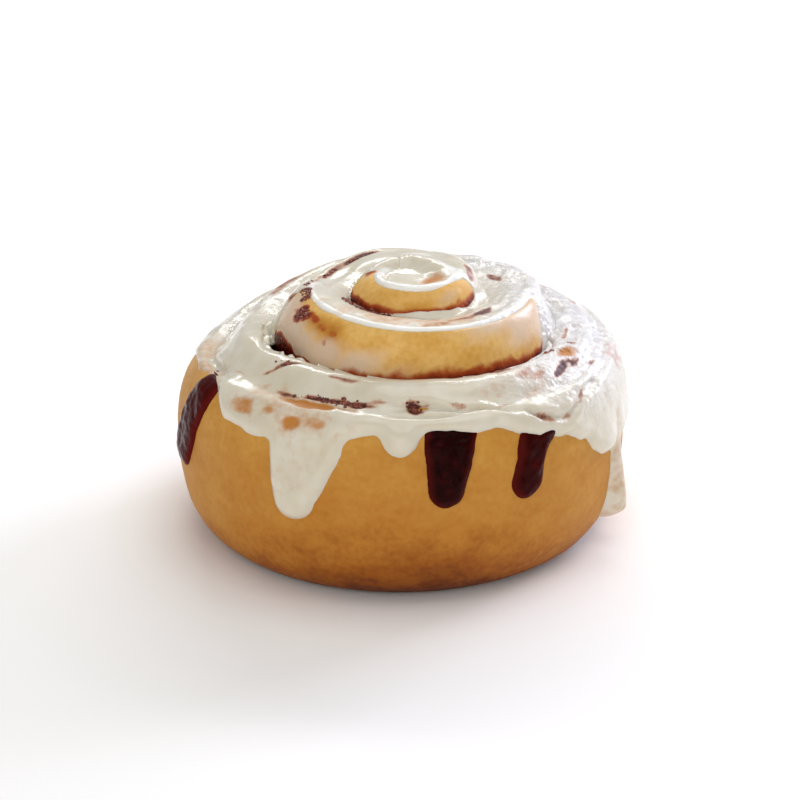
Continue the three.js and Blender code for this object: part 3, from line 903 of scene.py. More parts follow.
@dataclass(frozen=True)
class BakedDough(Finish):
    """Enriched yeast dough, oven baked: a thin satin crust, golden above and browner below.

    The eye gets a soft mottle, paler where the coil was covered, dark sticky stains where
    the cinnamon has seeped in at the lines, deepened as painted shade in the crevice beside
    the second coil, sides painted lighter than the front's foot as painted light, and a wet
    shine where a film of glaze lies.
    """

    name: str = "baked_enriched_dough"
    tones: tuple[tuple[float, str], ...] = (
        (0.0, "#EABF72"), (0.15, "#D8A44E"), (0.32, "#C78E3B"), (0.5, "#BA7A28"), (0.68, "#9C5812"),
        (0.84, "#703405"), (1.0, "#481B02"))
    # These colours also paint shade in the crevice beside the second coil.
    stain_and_shade: str = "#661206"
    stain_and_shade_edge: str = "#AC4A16"
    glaze: str = "#DEC6AE"

    def dress(self, graph: Graph) -> None:
        """Sets the shader's colour, gloss and relief."""
        mottle = graph.sharpen(graph.noise(9.0, 3.0, (1.0, 1.0, 1.6)), 0.3, 0.7, -0.05, 0.05)
        freckle = graph.sharpen(graph.noise(1.5, 3.0), 0.3, 0.75, -0.03, 0.05)
        tone = graph.maths(Operation.ADD, graph.mark("bake_and_shade"), mottle)
        tone = graph.maths(Operation.ADD, tone, freckle)
        crust = graph.ramp(tone, self.tones)
        uneven = graph.sharpen(graph.noise(2.8), 0.3, 0.7, -0.1, 0.1)
        stain_and_shade = graph.maths(Operation.ADD, graph.mark("stain_and_shade"), uneven)
        glaze = graph.mark("glaze")
        filmed = graph.over(graph.sharpen(glaze, 0.1, 1.0, 0.0, 0.92), crust, self.glaze)
        edged = graph.over(graph.sharpen(stain_and_shade, 0.12, 0.55), filmed, self.stain_and_shade_edge)
        stained_and_shaded = graph.over(graph.sharpen(stain_and_shade, 0.45, 0.95), edged, self.stain_and_shade)
        graph.shade(Base_Color=stained_and_shaded, Roughness=graph.sharpen(glaze, 0.0, 0.8, 0.56, 0.26),
                    Specular_IOR_Level=0.2, Subsurface_Weight=0.12,
                    Subsurface_Radius=(1.0, 0.45, 0.2), Subsurface_Scale=1.5 * MM)
        grit = graph.maths(Operation.MULTIPLY, graph.noise(0.9), graph.mark("stain_and_shade"))
        graph.raise_relief([(graph.noise(2.2, 3.0, (1, 1, 1.5)), 0.14), (grit, 0.5)])


@dataclass(frozen=True)
class StickyCinnamon(Finish):
    """Brown sugar and ground cinnamon melted in butter: dark, grainy and wet."""

    name: str = "sticky_cinnamon_filling"
    dark: str = "#2E0C06"
    warm: str = "#6A2A12"
    grain: float = 0.9

    def dress(self, graph: Graph) -> None:
        """Sets the shader's colour, gloss and relief."""
        grain = graph.noise(self.grain, 3.0)
        colour = graph.ramp(grain, ((0.35, self.dark), (0.68, self.warm)))
        graph.shade(Base_Color=colour, Roughness=0.22, IOR=1.48)
        graph.raise_relief([(grain, 0.5)])


@dataclass(frozen=True)
class CinnamonSyrup(Finish):
    """Cinnamon sugar syrup boiled out of the roll: nearly black, glossy, with fine warm specks, partly
    cinnamon and partly a painted red sheen.
    """

    name: str = "cinnamon_sugar_syrup"
    dark: str = "#1C0202"
    warm: str = "#6A140F"

    def dress(self, graph: Graph) -> None:
        """Sets the shader's colour, gloss and relief."""
        speck = graph.noise(2.6, 3.0)
        # Warm specks, partly cinnamon and partly a painted red sheen.
        specks_and_sheen = graph.sharpen(speck, 0.4, 0.8, 0.0, 0.15)
        share = graph.maths(Operation.ADD, specks_and_sheen, graph.mark("thin"))
        colour = graph.ramp(share, ((0.0, self.dark), (1.0, self.warm)))
        graph.shade(Base_Color=colour, Roughness=0.2, Specular_IOR_Level=0.04)
        graph.raise_relief([(speck, 0.4)])


@dataclass(frozen=True)
class PouredIcing(Finish):
    """Cream cheese and sugar icing poured warm: cream white, glossy, waxy in depth.

    The eye gets a painted highlight along its edges, a lighter, bluer painted sheen where it
    is drawn into ridges, the crust's orange through thin places, a tan in the pool between the
    inner coils that is partly painted shade, and soft brown smears where cinnamon has been
    drawn into it, with painted shade in a crease.
    """

    name: str = "poured_cream_icing"
    cream: str = "#D6CEB8"
    pale: str = "#E0DACA"
    painted_sheen: str = "#E9E8F0"
    painted_highlight: str = "#FBFAF6"
    thin: str = "#BE7A2C"
    streak_and_shade: str = "#4C140C"
    smear: str = "#AE6E48"

    def dress(self, graph: Graph) -> None:
        """Sets the shader's colour, gloss and relief."""
        thin, streak_and_shade, ridges_and_sheen, rim = map(graph.mark, ("thin", "streak_and_shade", "ridges_and_sheen", "rim"))
        body = graph.ramp(graph.noise(7.0), ((0.35, self.cream), (0.7, self.pale)))
        # Painted sheen: the icing is lighter and bluer where it is drawn into ridges, behind on the
        # right and on the left.
        body = graph.over(graph.sharpen(ridges_and_sheen, 0.1, 0.9, 0.0, 0.6), body, self.painted_sheen)
        # Painted highlight: near white along the crests of the bare faces and round the cup's rim.
        body = graph.over(graph.sharpen(rim, 0.1, 0.9, 0.0, 0.9), body, self.painted_highlight)
        fleck = graph.sharpen(graph.noise(2.0), 0.3, 0.7, -0.12, 0.12)
        # The crust's orange through thin icing; in the pool between the inner coils it is partly painted
        # shade.
        thinned = graph.maths(Operation.ADD, thin, fleck)
        film = graph.over(graph.sharpen(thinned, 0.1, 1.0), body, self.thin)
        # Cinnamon smears, with painted shade in the crease by the inner coil's right end.
        streaked_and_shaded = graph.maths(Operation.ADD, streak_and_shade, fleck)
        smeared = graph.over(graph.sharpen(streaked_and_shaded, 0.15, 0.6, 0.0, 0.8), film, self.smear)
        colour = graph.over(graph.sharpen(streaked_and_shaded, 0.5, 0.9), smeared, self.streak_and_shade)
        thinness = graph.maths(Operation.MAXIMUM, thin, streak_and_shade)
        laden = graph.maths(Operation.ADD, thin, streak_and_shade)
        graph.shade(Base_Color=colour, Roughness=graph.sharpen(thinness, 0.0, 0.6, 0.2, 0.5),
                    Coat_Weight=graph.sharpen(thinness, 0.0, 0.4, 0.25, 0.0),
                    Coat_Roughness=0.08, IOR=1.46,
                    Subsurface_Weight=graph.sharpen(laden, 0.0, 0.7, 0.35, 0.0),
                    Subsurface_Radius=(1.0, 0.75, 0.5), Subsurface_Scale=1.8 * MM)
        ridges = graph.maths(Operation.MULTIPLY, graph.noise(2.2, 3.0), ridges_and_sheen)
        graph.raise_relief([(graph.noise(3.0), 0.12), (ridges, 1.2)])


@dataclass(frozen=True)
class MattBoard(Finish):
    """Plain pale painted board, matt, so that only soft shadows show on it."""

    name: str = "matt_white_board"
    tone: str = "#FFFFFF"

    def dress(self, graph: Graph) -> None:
        """Sets the shader's colour, gloss and relief."""
        graph.shade(Base_Color=self.tone, Roughness=0.9, Specular_IOR_Level=0.1)


# The bare faces and the poured edges, which the dough and the icing share

@dataclass(frozen=True)
class BareFace:
    """A part of a coil's outer face that the icing leaves bare, in turns across the strip.

    hood is where the icing hangs lower from the crest, gap where the icing beyond stands
    back from the line, and bridges where it comes up over the line, each a turn, a width
    in turns and a share of the strip's width. overhang is how far, in mm, that icing stands
    out level over the gap.
    """

    start: float
    end: float
    margin: float
    beyond: float
    hood: tuple[float, float, float]
    gap: tuple[float, float, float]
    bridges: tuple[tuple[float, float, float], ...]
    pooled: bool
    overhang: float = 0.0
    end_slope: float = 0.45

    def inside(self, radius: Array, azimuth: Array) -> Array:
        """Gives how far places lie inside the bare face, in mm, negative outside.

        It is the least of the distances to the crest, to just past the line and to the
        two ends, where the icing thins out slowly.
        """
        near, far, ends = self._distances(radius, azimuth)
        return soft_min(np.minimum(near, far), ends * self.end_slope, 0.6)

    def laid_bare(self, radius: Array, azimuth: Array) -> Array:
        """Gives the share, 0 to 1, by which the skin follows the baked dough at places.

        It fades over 3 mm from the bare face, or at once where the icing beyond pools up
        against the face.
        """
        near, far, ends = self._distances(radius, azimuth)
        held = self.overhang * bump(self._turn(azimuth) - self.gap[0], 0.08)
        beyond = smooth((far + 0.4) / 0.9) if self.pooled else smooth((far + 3.0 - held) / 2.6)
        crest = smooth((soft_min(near, ends * self.end_slope, 0.6) + 3.0) / 2.6)
        return crest * beyond

    def rimmed(self, radius: Array, azimuth: Array) -> Array:
        """Gives the share by which places lie on the icing's thin edge along the crest, where its lip
        swells and a painted highlight is laid.
        """
        near, far, ends = self._distances(radius, azimuth)
        fading = smooth((ends * self.end_slope + 2.5) / 2.0)
        return bump(near + 0.7, 0.9) * smooth((far + 1.0) / 2.0) * fading

    def _turn(self, azimuth: Array) -> Array:
        """Gives the turn at azimuths that is nearest to the middle of the face."""
        return azimuth + np.round((self.start + self.end) / 2.0 - azimuth)

    def _distances(self, radius: Array, azimuth: Array) -> tuple[Array, Array, Array]:
        """Gives the distances in mm to the crest side, the far side and the nearer end."""
        turn = self._turn(azimuth)
        inner = FORM.line_radius(turn - 1.0)
        width = np.maximum(FORM.line_radius(turn) - inner, FORM.eye_radius)
        across = (radius - inner) / width
        hood, gap, *bridges = (share * bump(turn - centre, span)
                               for centre, span, share in (self.hood, self.gap, *self.bridges))
        near = (across - FORM.crest_place(turn) - self.margin - hood) * width
        far = (self.beyond + gap - sum(bridges) - across) * width
        ends = np.minimum(turn - self.start, self.end - turn) * TAU * np.maximum(radius, 1.0)
        return near, far, ends


BARE_FACES = (
    BareFace(0.48, 0.975, 0.0, 0.925, hood=(0.55, 0.06, 0.03), gap=(0.635, 0.06, 0.1),
             bridges=(), pooled=True),
    BareFace(1.525, 1.99, -0.03, 1.01, hood=(1.6, 0.07, 0.02), gap=(1.597, 0.034, 0.23),
             bridges=((1.782, 0.03, 0.06), (1.995, 0.035, 0.3)), pooled=False, overhang=2.0),
)


def inside_bare(radius: Array, azimuth: Array, wobble: Array) -> Array:
    """Gives how far places lie inside the nearer bare face, its edge shifted by wobble."""
    return np.max([face.inside(radius, azimuth) for face in BARE_FACES], axis=0) + 0.35 * wobble


# Pieces

@dataclass
class DoughCoil:
    """The one strip of dough, from the eye of the roll to its tail.

    darkening_below holds heights in mm and how fast the crust darkens below each, and
    shaded_side is the azimuth where its foot is darkest: away from it the crust is painted
    lighter, a painted light on the sides that leaves painted shade on the front's foot.
    toasted, crusted and filmed are places that are baked browner, crusted with filling and
    wet with glaze. soak_and_shade says how far staining from the filling comes up a coil's
    outer face, by turn: the share of the fall where it starts, its strength, and the share
    over which it comes up; from turn 1.46 to 1.65 it is also painted shade in the crevice
    beside the second coil.
    """

    steps_per_turn: int = 220
    top_points: int = 58
    foot_points: int = 44
    finish: Finish = field(default_factory=BakedDough)

    darkening_below: tuple[tuple[float, float], ...] = ((44.0, 0.0083), (20.0, 0.012), (5.0, 0.015))
    shaded_side: float = 272.0
    toasted: tuple[Patch, ...] = (
        Patch(222, 27.0, 3.0, 0.8, 10, 0.8), Patch(231, 28.0, 3.4, 1.0, 10, 0.8),
        Patch(239, 28.9, 3.0, 1.3, 10, 0.8), Patch(238, 30.0, 1.6, 0.8, 0, 0.7),
        Patch(330, 31.4, 3.0, 1.0, 0, 0.35), Patch(285, 16.0, 3.0, 0.6, 0, 0.5))
    soak_and_shade: tuple[tuple[float, float, float, float], ...] = (
        (0.3, 0.3, 0.9, 0.3), (0.48, 0.5, 0.8, 0.3), (0.58, 0.5, 0.9, 0.3),
        (0.66, 0.44, 0.85, 0.3), (0.74, 0.4, 0.62, 0.3), (0.8, 0.36, 0.75, 0.3),
        (0.88, 0.38, 0.7, 0.3), (0.97, 0.32, 0.95, 0.3), (1.2, 0.4, 0.8, 0.3),
        # Painted shade along with real staining: turns 1.46 to 1.65 start high and strong, in the
        # crevice beside the second coil.
        (1.46, 0.8, 0.8, 0.2), (1.55, 0.76, 1.0, 0.16), (1.6, 0.8, 1.0, 0.16),
        (1.65, 0.8, 0.9, 0.2), (1.7, 0.62, 0.74, 0.36), (1.78, 0.46, 0.72, 0.42),
        (1.84, 0.48, 0.86, 0.42), (1.9, 0.54, 0.95, 0.42), (1.96, 0.6, 1.0, 0.42),
        (2.2, 0.7, 0.8, 0.36))
    crusted: tuple[Patch, ...] = (
        Patch(211, 26.2, 2.6, 1.0, 0, 1.0), Patch(218, 26.6, 2.2, 0.8, 0, 0.75),
        Patch(226, 27.2, 1.8, 0.5, 10, 0.45), Patch(233, 28.4, 1.6, 0.6, 10, 0.38),
        Patch(240, 29.4, 1.2, 0.5, 0, 0.36), Patch(237, 30.2, 0.9, 0.4, 0, 0.34),
        Patch(322, 17.8, 3.4, 0.8, 0, 0.42), Patch(176, 6.4, 2.2, 1.4, 0, 0.6))
    filmed: tuple[Patch, ...] = (
        Patch(196, 28.0, 6.0, 5.0, 0, 1.3), Patch(210, 29.4, 5.0, 2.6, 0, 1.3),
        Patch(222, 30.6, 5.0, 1.9, 0, 1.25), Patch(236, 31.3, 6.0, 1.4, 0, 1.1),
        Patch(252, 32.2, 7.0, 1.2, 0, 0.9), Patch(268, 33.2, 6.0, 0.8, 0, 0.6),
        Patch(335, 32.0, 9.0, 2.4, 0, 1.15), Patch(316, 30.8, 9.0, 1.5, 0, 1.0),
        Patch(347, 33.4, 5.0, 2.6, 0, 1.2), Patch(196, 7.5, 2.0, 2.0, 0, 0.5),
        Patch(318, 16.4, 4.0, 0.9, 0, 0.6))

    def section(self, turn: Array) -> tuple[Array, Array, Array, Array]:
        """Works out cross sections of the strip.

        Across the top the points crowd towards the outer side, and along the foot they
        run back from it by a power, so that the wall is cut at even heights.

        Args:
            turn: The turns of the sections, as a column.

        Returns:
            Radius, height, place across the strip, and share of the wall radius.
        """
        wall = FORM.wall_radius(turn % 1.0)
        inner, outer = FORM.dough_sides(turn, wall)
        across = 1.0 - (1.0 - np.linspace(0.0, 1.0, self.top_points) ** 1.25) ** 2
        top_radius = mix(inner, outer, across)
        top = FORM.baked_top(turn, across * np.ones_like(turn), top_radius / wall)
        top = CUP.under(top, top_radius, (turn % 1.0) * 360.0)
        back = np.linspace(1.0 / self.foot_points, 1.0, self.foot_points) ** 2.4
        foot_radius = mix(outer, inner, back)
        foot = FORM.foot_height(foot_radius / wall)
        radius = np.hstack([top_radius, foot_radius])
        places = np.hstack([across * np.ones_like(turn), (1.0 - back) * np.ones_like(turn)])
        return radius, np.hstack([top, foot]), places, radius / wall

    def marks(self, points: Array, turn: Array, across: Array, ratio: Array) -> dict[str, Array]:
        """Works out the crust's tone, lightened at the sides as painted light, its dark marks of
        filling, deepened as painted shade in a crevice, and its films.

        Args:
            points: The surface's places in mm.
            turn: The strip's turn at each.
            across: The place across the strip.
            ratio: The share of the wall radius.

        Returns:
            Values for the attributes bake, stain and glaze.
        """
        height = points[..., 2]
        degrees = (turn % 1.0) * 360.0
        reach = PROFILE.reach_of(ratio, height)
        wobble = STAIN_NOISE.layered(points, 2.6, 2)
        # Darker towards the floor, faster below each listed height.
        bake_and_shade = 0.3 + sum(rate * np.maximum(start - height, 0.0) for start, rate in self.darkening_below)
        # Painted light: away from the front the crust is painted lighter, most near the foot, leaving
        # painted shade on the front's foot.
        front = bump(turns_between(degrees, self.shaded_side), 42.0)
        bake_and_shade = bake_and_shade - (1.0 - front) * (0.08 + 0.2 * smooth((25.0 - height) / 15.0))
        bake_and_shade = np.where(height > 47.0, 0.08, bake_and_shade)
        coil = smooth((height - 40.0) / 4.0) * (1.0 - FORM.last_turn(turn) * (across > 0.5))
        turns, starts, strengths, widths = zip(*self.soak_and_shade)
        start = np.interp(turn, turns, starts) + 0.07 * STAIN_NOISE.layered(points, 4.6, 2)
        fallen = (FORM.fallen(turn, height) - start) / np.interp(turn, turns, widths)
        soak_and_shade = smooth(fallen) * (across > 0.5)
        outer = soak_and_shade * np.interp(turn, turns, strengths)
        # Painted shade: a wider dark band on the ledge in the crevice beside the second coil.
        ledge = 0.03 + 0.2 * bump(turn - 1.0 - FORM.crevice_turn - 0.02, 0.06)
        inner = smooth(0.6 + (ledge + 0.02 * wobble - across) / 0.05)
        stain_and_shade = 0.95 * np.maximum(outer, inner) * coil
        stain_and_shade = np.maximum(stain_and_shade, painted(self.crusted, degrees, reach, wobble) * coil)
        bake_and_shade = bake_and_shade + 0.5 * painted(self.toasted, degrees, reach, wobble, soft=True) * coil
        glaze = painted(self.filmed, degrees, reach, wobble, soft=True) * coil
        film = smooth((height - 38.0 - 2.0 * wobble) / 5.0) * smooth((ratio - 0.8) / 0.1)
        return {"bake_and_shade": bake_and_shade, "stain_and_shade": stain_and_shade, "glaze": np.maximum(glaze, 0.25 * film)}

    def build(self) -> bpy.types.Object:
        """Makes the strip, closed at both ends."""
        count = int(round((FORM.strip_end - FORM.strip_start) * self.steps_per_turn)) + 1
        turn = np.linspace(FORM.strip_start, FORM.strip_end, count)[:, None]
        radius, height, across, ratio = self.section(turn)
        azimuth = (turn % 1.0) * np.ones_like(radius)
        points = plan(radius, azimuth, height)
        normals = grid_normals(points, wrap=False)
        top = np.arange(radius.shape[1]) < self.top_points
        shown = np.where(top | (ratio > FORM.foot_ratio + 0.02), 1.0, 0.0)
        shown = shown * smooth(np.minimum(across, 1.0 - across + FORM.last_turn(turn)) / 0.03)
        outward = np.sign((normals * plan(ratio, azimuth, np.ones_like(ratio))).sum(-1))
        points = points + (normals * (outward * shown * FORM.relief(points))[..., None])
        marks = self.marks(points, turn * np.ones_like(radius), across, ratio)
        rows, columns = radius.shape
        quads = grid_quads(rows, columns, False, True)[:, ::-1]
        first = np.arange(columns)[None, ::-1]
        last = np.arange(columns)[None, :] + (rows - 1) * columns
        piece = make_piece("dough_coil", points.reshape(-1, 3), [quads, first, last],
                           {key: value.ravel() for key, value in marks.items()}, self.finish.build())
        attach(piece, BODY)
        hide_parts("dough")
        return piece


@dataclass
class CinnamonFilling:
    """The ribbon of filling between the turns, with an uneven, grainy upper edge."""

    thickness: float = 1.4
    steps_per_turn: int = 170
    edge_points: int = 9
    finish: Finish = field(default_factory=StickyCinnamon)

    def build(self) -> bpy.types.Object:
        """Makes the ribbon: a thin upright sheet whose top is a rounded bead."""
        count = int((FORM.outer_start - FORM.strip_start) * self.steps_per_turn)
        turn = np.linspace(FORM.strip_start, FORM.outer_start, count)[:, None]
        azimuth = turn % 1.0
        middle = FORM.line_radius(turn)
        ratio = middle / FORM.wall_radius(azimuth)
        crest = soft_min(FORM.crest_height(turn + 1.0), FORM.shoulder_height(ratio), FORM.crest_blend)
        line = plan(middle, azimuth, crest)
        uneven = 0.55 * STAIN_NOISE.layered(line, 2.2, 2)
        sunk = 2.6 * bump(turn - FORM.crevice_turn, 0.12)
        top = crest - FORM.groove_depth(turn) + 0.35 + uneven - sunk
        swing = np.linspace(0.0, math.pi, self.edge_points)
        half = self.thickness / 2.0
        bead = middle + half * np.cos(swing)
        bead_height = top + half * np.sin(swing)
        foot = FORM.foot_height(ratio) + 0.6
        radius = np.hstack([middle + half, bead, middle - half])
        height = np.hstack([foot, bead_height, foot])
        points = plan(radius, azimuth * np.ones_like(radius), height)
        rows, columns = radius.shape
        quads = grid_quads(rows, columns, False, True)
        first = np.arange(columns)[None, :]
        last = first[:, ::-1] + (rows - 1) * columns
        piece = make_piece("cinnamon_filling_ribbon", points.reshape(-1, 3), [quads, first, last],
                           {}, self.finish.build())
        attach(piece, BODY)
        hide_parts("cinnamon_filling")
        return piece


@dataclass
class IcingCap:
    """The icing over the top, its bare windows, its lower edge and its drips.

    By azimuth in degrees, edge_levels gives the height of the lower edge and seam the
    reach of the wet seam round the shoulder. streaks_and_shade are smears of cinnamon;
    those in the crease by the right end of the inner coil are painted shade, and the wide
    one on the far right shoulder is partly painted shade. thin_and_shaded_places let the
    crust show through; the three wide ones in the pool between the inner coils also tint
    it as painted shade.
    """

    columns: int = 440
    rows: int = 160
    reach_end: float = 92.0
    top_thickness: float = 1.1
    wall_thickness: float = 1.35
    embedding: float = 1.1
    levelling: float = 1.1
    finish: Finish = field(default_factory=PouredIcing)
    surface: Array = field(init=False)
    outward: Array = field(init=False)

    edge_levels: tuple[tuple[float, float], ...] = (
        (0, 27), (40, 33), (80, 35), (120, 38), (160, 41.4), (188, 44.2), (204, 44.6), (212, 43.6),
        (220, 39.2), (232, 38.0), (254, 40.5), (263, 42.4), (284, 42.6), (296, 42), (308, 38.2),
        (316, 36.6), (323, 33.4), (330, 29), (342, 26))
    runs: tuple[Run, ...] = (
        Run((246.3, 39), (244.3, 26.1), (9.6, 5.3), 2.0),
        Run((270.5, 44), (271.0, 42.6), (4.6, 4.6), 2.0),
        Run((308, 42), (309, 41.0), (4.0, 3.6), 1.3),
        Run((331, 34), (334, 31.0), (6.0, 5.0), 1.6),
        Run((340, 28), (341, 10.0), (2.9, 3.7), 3.4),
        Run((12, 30), (14, 21.0), (5.5, 3.6), 1.8),
        Run((47, 35), (45, 27.5), (6.0, 4.0), 1.8),
        Run((78, 36), (80, 17.5), (6.5, 3.6), 2.0),
        Run((112, 38), (110, 31.0), (5.5, 4.2), 1.7),
        Run((143, 40), (146, 24.0), (6.0, 3.6), 1.9))
    seam: tuple[tuple[float, float], ...] = (
        (225, 45.6), (238, 44.3), (245, 43.3), (256, 43.5), (263, 44.1), (279, 44.1), (291, 46.4),
        (304, 50.0), (310, 53.2), (317, 55.0), (325, 52.4), (340, 50.5))
    streaks_and_shade: tuple[Patch, ...] = (
        Patch(213, 43.6, 3.0, 0.7, 0, 0.45), Patch(226, 40.6, 3.0, 0.4, -32, 0.65),
        Patch(230, 38.4, 2.6, 0.5, -32, 0.9), Patch(251, 39.0, 3.2, 0.55, 0, 0.8),
        Patch(238, 44.5, 3.6, 0.7, 0, 0.75), Patch(245.5, 43.9, 3.4, 0.8, 0, 1.0),
        Patch(252, 43.7, 3.6, 0.9, 0, 1.1), Patch(258.5, 44.1, 3.4, 0.9, 0, 1.1),
        Patch(265, 42.9, 2.4, 0.5, 0, 0.5), Patch(275.4, 44.0, 1.9, 1.5, 25, 1.35),
        Patch(279.5, 43.4, 1.8, 0.5, 0, 0.6), Patch(289, 45.0, 2.2, 0.7, 20, 0.5),
        Patch(301, 47.0, 2.6, 0.7, 0, 0.45), Patch(310, 53.4, 2.4, 0.8, 30, 0.7),
        Patch(317, 55.0, 1.6, 0.7, 0, 0.6), Patch(325, 52.4, 2.2, 0.6, -30, 0.6),
        Patch(307.5, 38.4, 4.4, 0.7, 0, 0.75), Patch(316, 42.6, 6.0, 2.6, 0, 0.4),
        Patch(325.5, 44.2, 5.4, 0.6, -8, 1.0), Patch(332.5, 43.6, 2.4, 0.5, 20, 0.8),
        Patch(334, 39.3, 1.6, 0.8, 0, 1.0), Patch(334.5, 44.6, 2.2, 0.5, 0, 0.8),
        Patch(343.5, 41.6, 2.0, 0.6, 30, 0.8), Patch(341, 47.5, 2.4, 0.7, 12, 0.7),
        # Painted shade, in part: the wide weak smear at azimuth 355.5 on the far right shoulder.
        Patch(350, 40.0, 4.0, 0.6, 0, 0.6), Patch(355.5, 52.4, 6.0, 3.0, 0, 0.35),
        Patch(117, 18.6, 4.2, 1.0, 0, 1.1), Patch(132, 18.6, 3.4, 0.7, 0, 0.6),
        Patch(148, 19.4, 3.6, 1.0, 0, 0.8), Patch(163, 20.4, 3.0, 0.8, 0, 0.6),
        Patch(178, 21.6, 3.0, 0.9, 0, 0.8), Patch(194, 22.4, 2.6, 1.2, 0, 1.1),
        Patch(203, 23.2, 2.0, 1.2, 0, 1.0), Patch(190, 25.2, 3.0, 0.8, 0, 0.7),
        # Painted shade: the patches at azimuths 303, 313 and 322 darken the crease by the right end of
        # the inner coil.
        Patch(293, 25.8, 4.5, 1.2, -10, 0.45), Patch(303, 24.4, 4.0, 0.7, -8, 0.6),
        Patch(313, 24.6, 3.4, 0.8, 0, 0.7), Patch(322, 25.0, 3.4, 1.1, 0, 0.95),
        Patch(7, 17.0, 4.0, 0.7, 0, 0.7), Patch(27, 26.8, 4.0, 0.8, 0, 0.7),
        Patch(88, 7.4, 2.4, 0.4, 0, 0.7), Patch(28, 44.6, 9.0, 0.9, 0, 0.6),
        Patch(64, 38.6, 7.0, 0.8, 0, 0.6), Patch(100, 41.8, 9.0, 0.9, 10, 0.6),
        Patch(140, 36.0, 7.0, 0.9, 0, 0.65), Patch(80, 28.6, 6.0, 0.8, 0, 0.6))
    thin_and_shaded_places: tuple[Patch, ...] = (
        Patch(242, 46.3, 5.4, 1.5, 0, 1.1), Patch(249, 46.0, 4.6, 1.4, 0, 1.1),
        Patch(255, 45.8, 3.6, 1.0, 0, 0.9), Patch(227, 51.6, 3.0, 1.8, 0, 0.8),
        Patch(242.3, 52.2, 3.2, 1.6, 0, 1.0), Patch(235, 50.8, 2.6, 1.4, 0, 0.7),
        Patch(249, 51.4, 2.6, 1.4, 0, 0.7), Patch(241, 49.5, 13.0, 6.0, 0, 0.42),
        Patch(245, 63.0, 6.0, 8.0, 0, 0.2), Patch(336.8, 41.9, 3.2, 1.5, 20, 1.2),
        # Painted shade, in part: the wide patches at reach 21 to 23.4 tint the pool between the inner
        # coils tan.
        Patch(332, 9.4, 3.6, 3.0, 0, 0.95), Patch(242, 21.0, 9.0, 3.0, 0, 0.42),
        Patch(268, 23.0, 12.0, 4.2, 0, 0.5), Patch(294, 23.4, 9.0, 4.0, 0, 0.55),
        Patch(314, 45.0, 7.0, 1.8, -10, 0.42), Patch(302, 43.0, 7.0, 1.5, 0, 0.3),
        Patch(277, 43.6, 5.0, 1.2, 0, 0.35), Patch(200, 48.0, 11.0, 4.0, 0, 0.5),
        Patch(180, 47.0, 11.0, 4.0, 0, 0.45), Patch(225, 62.0, 6.0, 3.0, 0, 0.2),
        Patch(340.5, 76.0, 4.0, 14.0, 0, 0.42), Patch(120, 50.0, 9.0, 4.0, 0, 0.4),
        Patch(60, 52.0, 9.0, 3.0, 0, 0.35))

    def grooved(self, degrees: Array, reach: Array) -> Array:
        """Gives the groove's share: shallow where icing pools, full at the bare faces."""
        azimuth = degrees / 360.0
        radius = np.interp(reach, PROFILE.reach, PROFILE.ratio) * FORM.wall_radius(azimuth)
        bare = np.max([face.laid_bare(radius, azimuth) for face in BARE_FACES], axis=0)
        front = smooth(1.5 - np.abs(turns_between(degrees, 255.0)) / 60.0)
        drained = smooth((reach - 16.0) / 8.0) * (1.0 - 0.6 * front * (reach < 26.0))
        pooled = mix(0.62, 0.36, drained)
        calm = smooth((272.0 - degrees) / 12.0) * smooth((degrees - 205.0) / 10.0)
        pooled = mix(pooled, 0.06, calm * bump(reach - 46.0, 5.0))
        filled = bump(turns_between(degrees, 350.0), 16.0) * bump(reach - 34.0, 6.0)
        pooled = mix(pooled, 0.1, filled)
        return mix(pooled, 1.0, bare)

    def seam_groove(self, skin: Skin) -> Array:
        """Gives the relief of the wet seam round the shoulder: a groove between two lips."""
        off = skin.reach - interpolated(self.seam, skin.degrees)
        shown = smooth((skin.degrees - 266.0) / 10.0) * smooth((352.0 - skin.degrees) / 14.0)
        broken = 0.9 + 0.6 * FLOW_NOISE.layered(skin.points, 4.0, 2)
        lips = 0.6 * bump(off + 1.7, 0.9) + 0.55 * bump(off - 1.6, 0.8)
        return shown * broken * (lips - 0.9 * bump(off, 0.8))

    def ridges_and_sheen(self, skin: Skin) -> Array:
        """Gives how much the icing is drawn into ridges and given a lighter, bluer painted sheen, most
        of it behind on the right.
        """
        behind = smooth(1.3 - np.abs(turns_between(skin.degrees, 10.0)) / 75.0)
        left = 0.5 * bump(turns_between(skin.degrees, 155.0), 22.0)
        return np.maximum(behind, left) * bump(skin.reach - 40.0, 17.0)

    def flow_ridges(self, skin: Skin) -> Array:
        """Gives the height of fine ridges along the icing's flow."""
        along = np.stack([skin.degrees * 0.9 / 15.0, skin.reach / 1.9, skin.height / 30.0], axis=-1)
        return 0.5 * (1.0 - 2.0 * np.abs(FLOW_NOISE.layered(along, 1.0, 2))) * self.ridges_and_sheen(skin)

    def hanging(self, skin: Skin) -> Array:
        """Gives the share by which the last drip on the right hangs free of the foot."""
        drip = max(self.runs, key=lambda run: run.thick)
        inside = drip.inside(skin.degrees, skin.height, FORM.wall_radius(skin.azimuth))
        return smooth((inside + 0.6) / 2.4) * smooth((FORM.bulge_height - skin.height) / 5.0)

    def inside(self, skin: Skin, bare: Array, wobble: Array) -> Array:
        """Gives how far places lie inside the iced area, in mm, negative where it is bare."""
        wall = FORM.wall_radius(skin.azimuth)
        poured = skin.height - interpolated(self.edge_levels, skin.degrees) + 0.5 * wobble
        poured = np.where(skin.reach < 44.0, 8.0, poured)
        for run in self.runs:
            reached = np.where(skin.reach > 43.0, run.inside(skin.degrees, skin.height, wall), -20.0)
            poured = soft_max(poured, reached + 0.25 * wobble, 2.0)
        return np.minimum(poured, -bare)

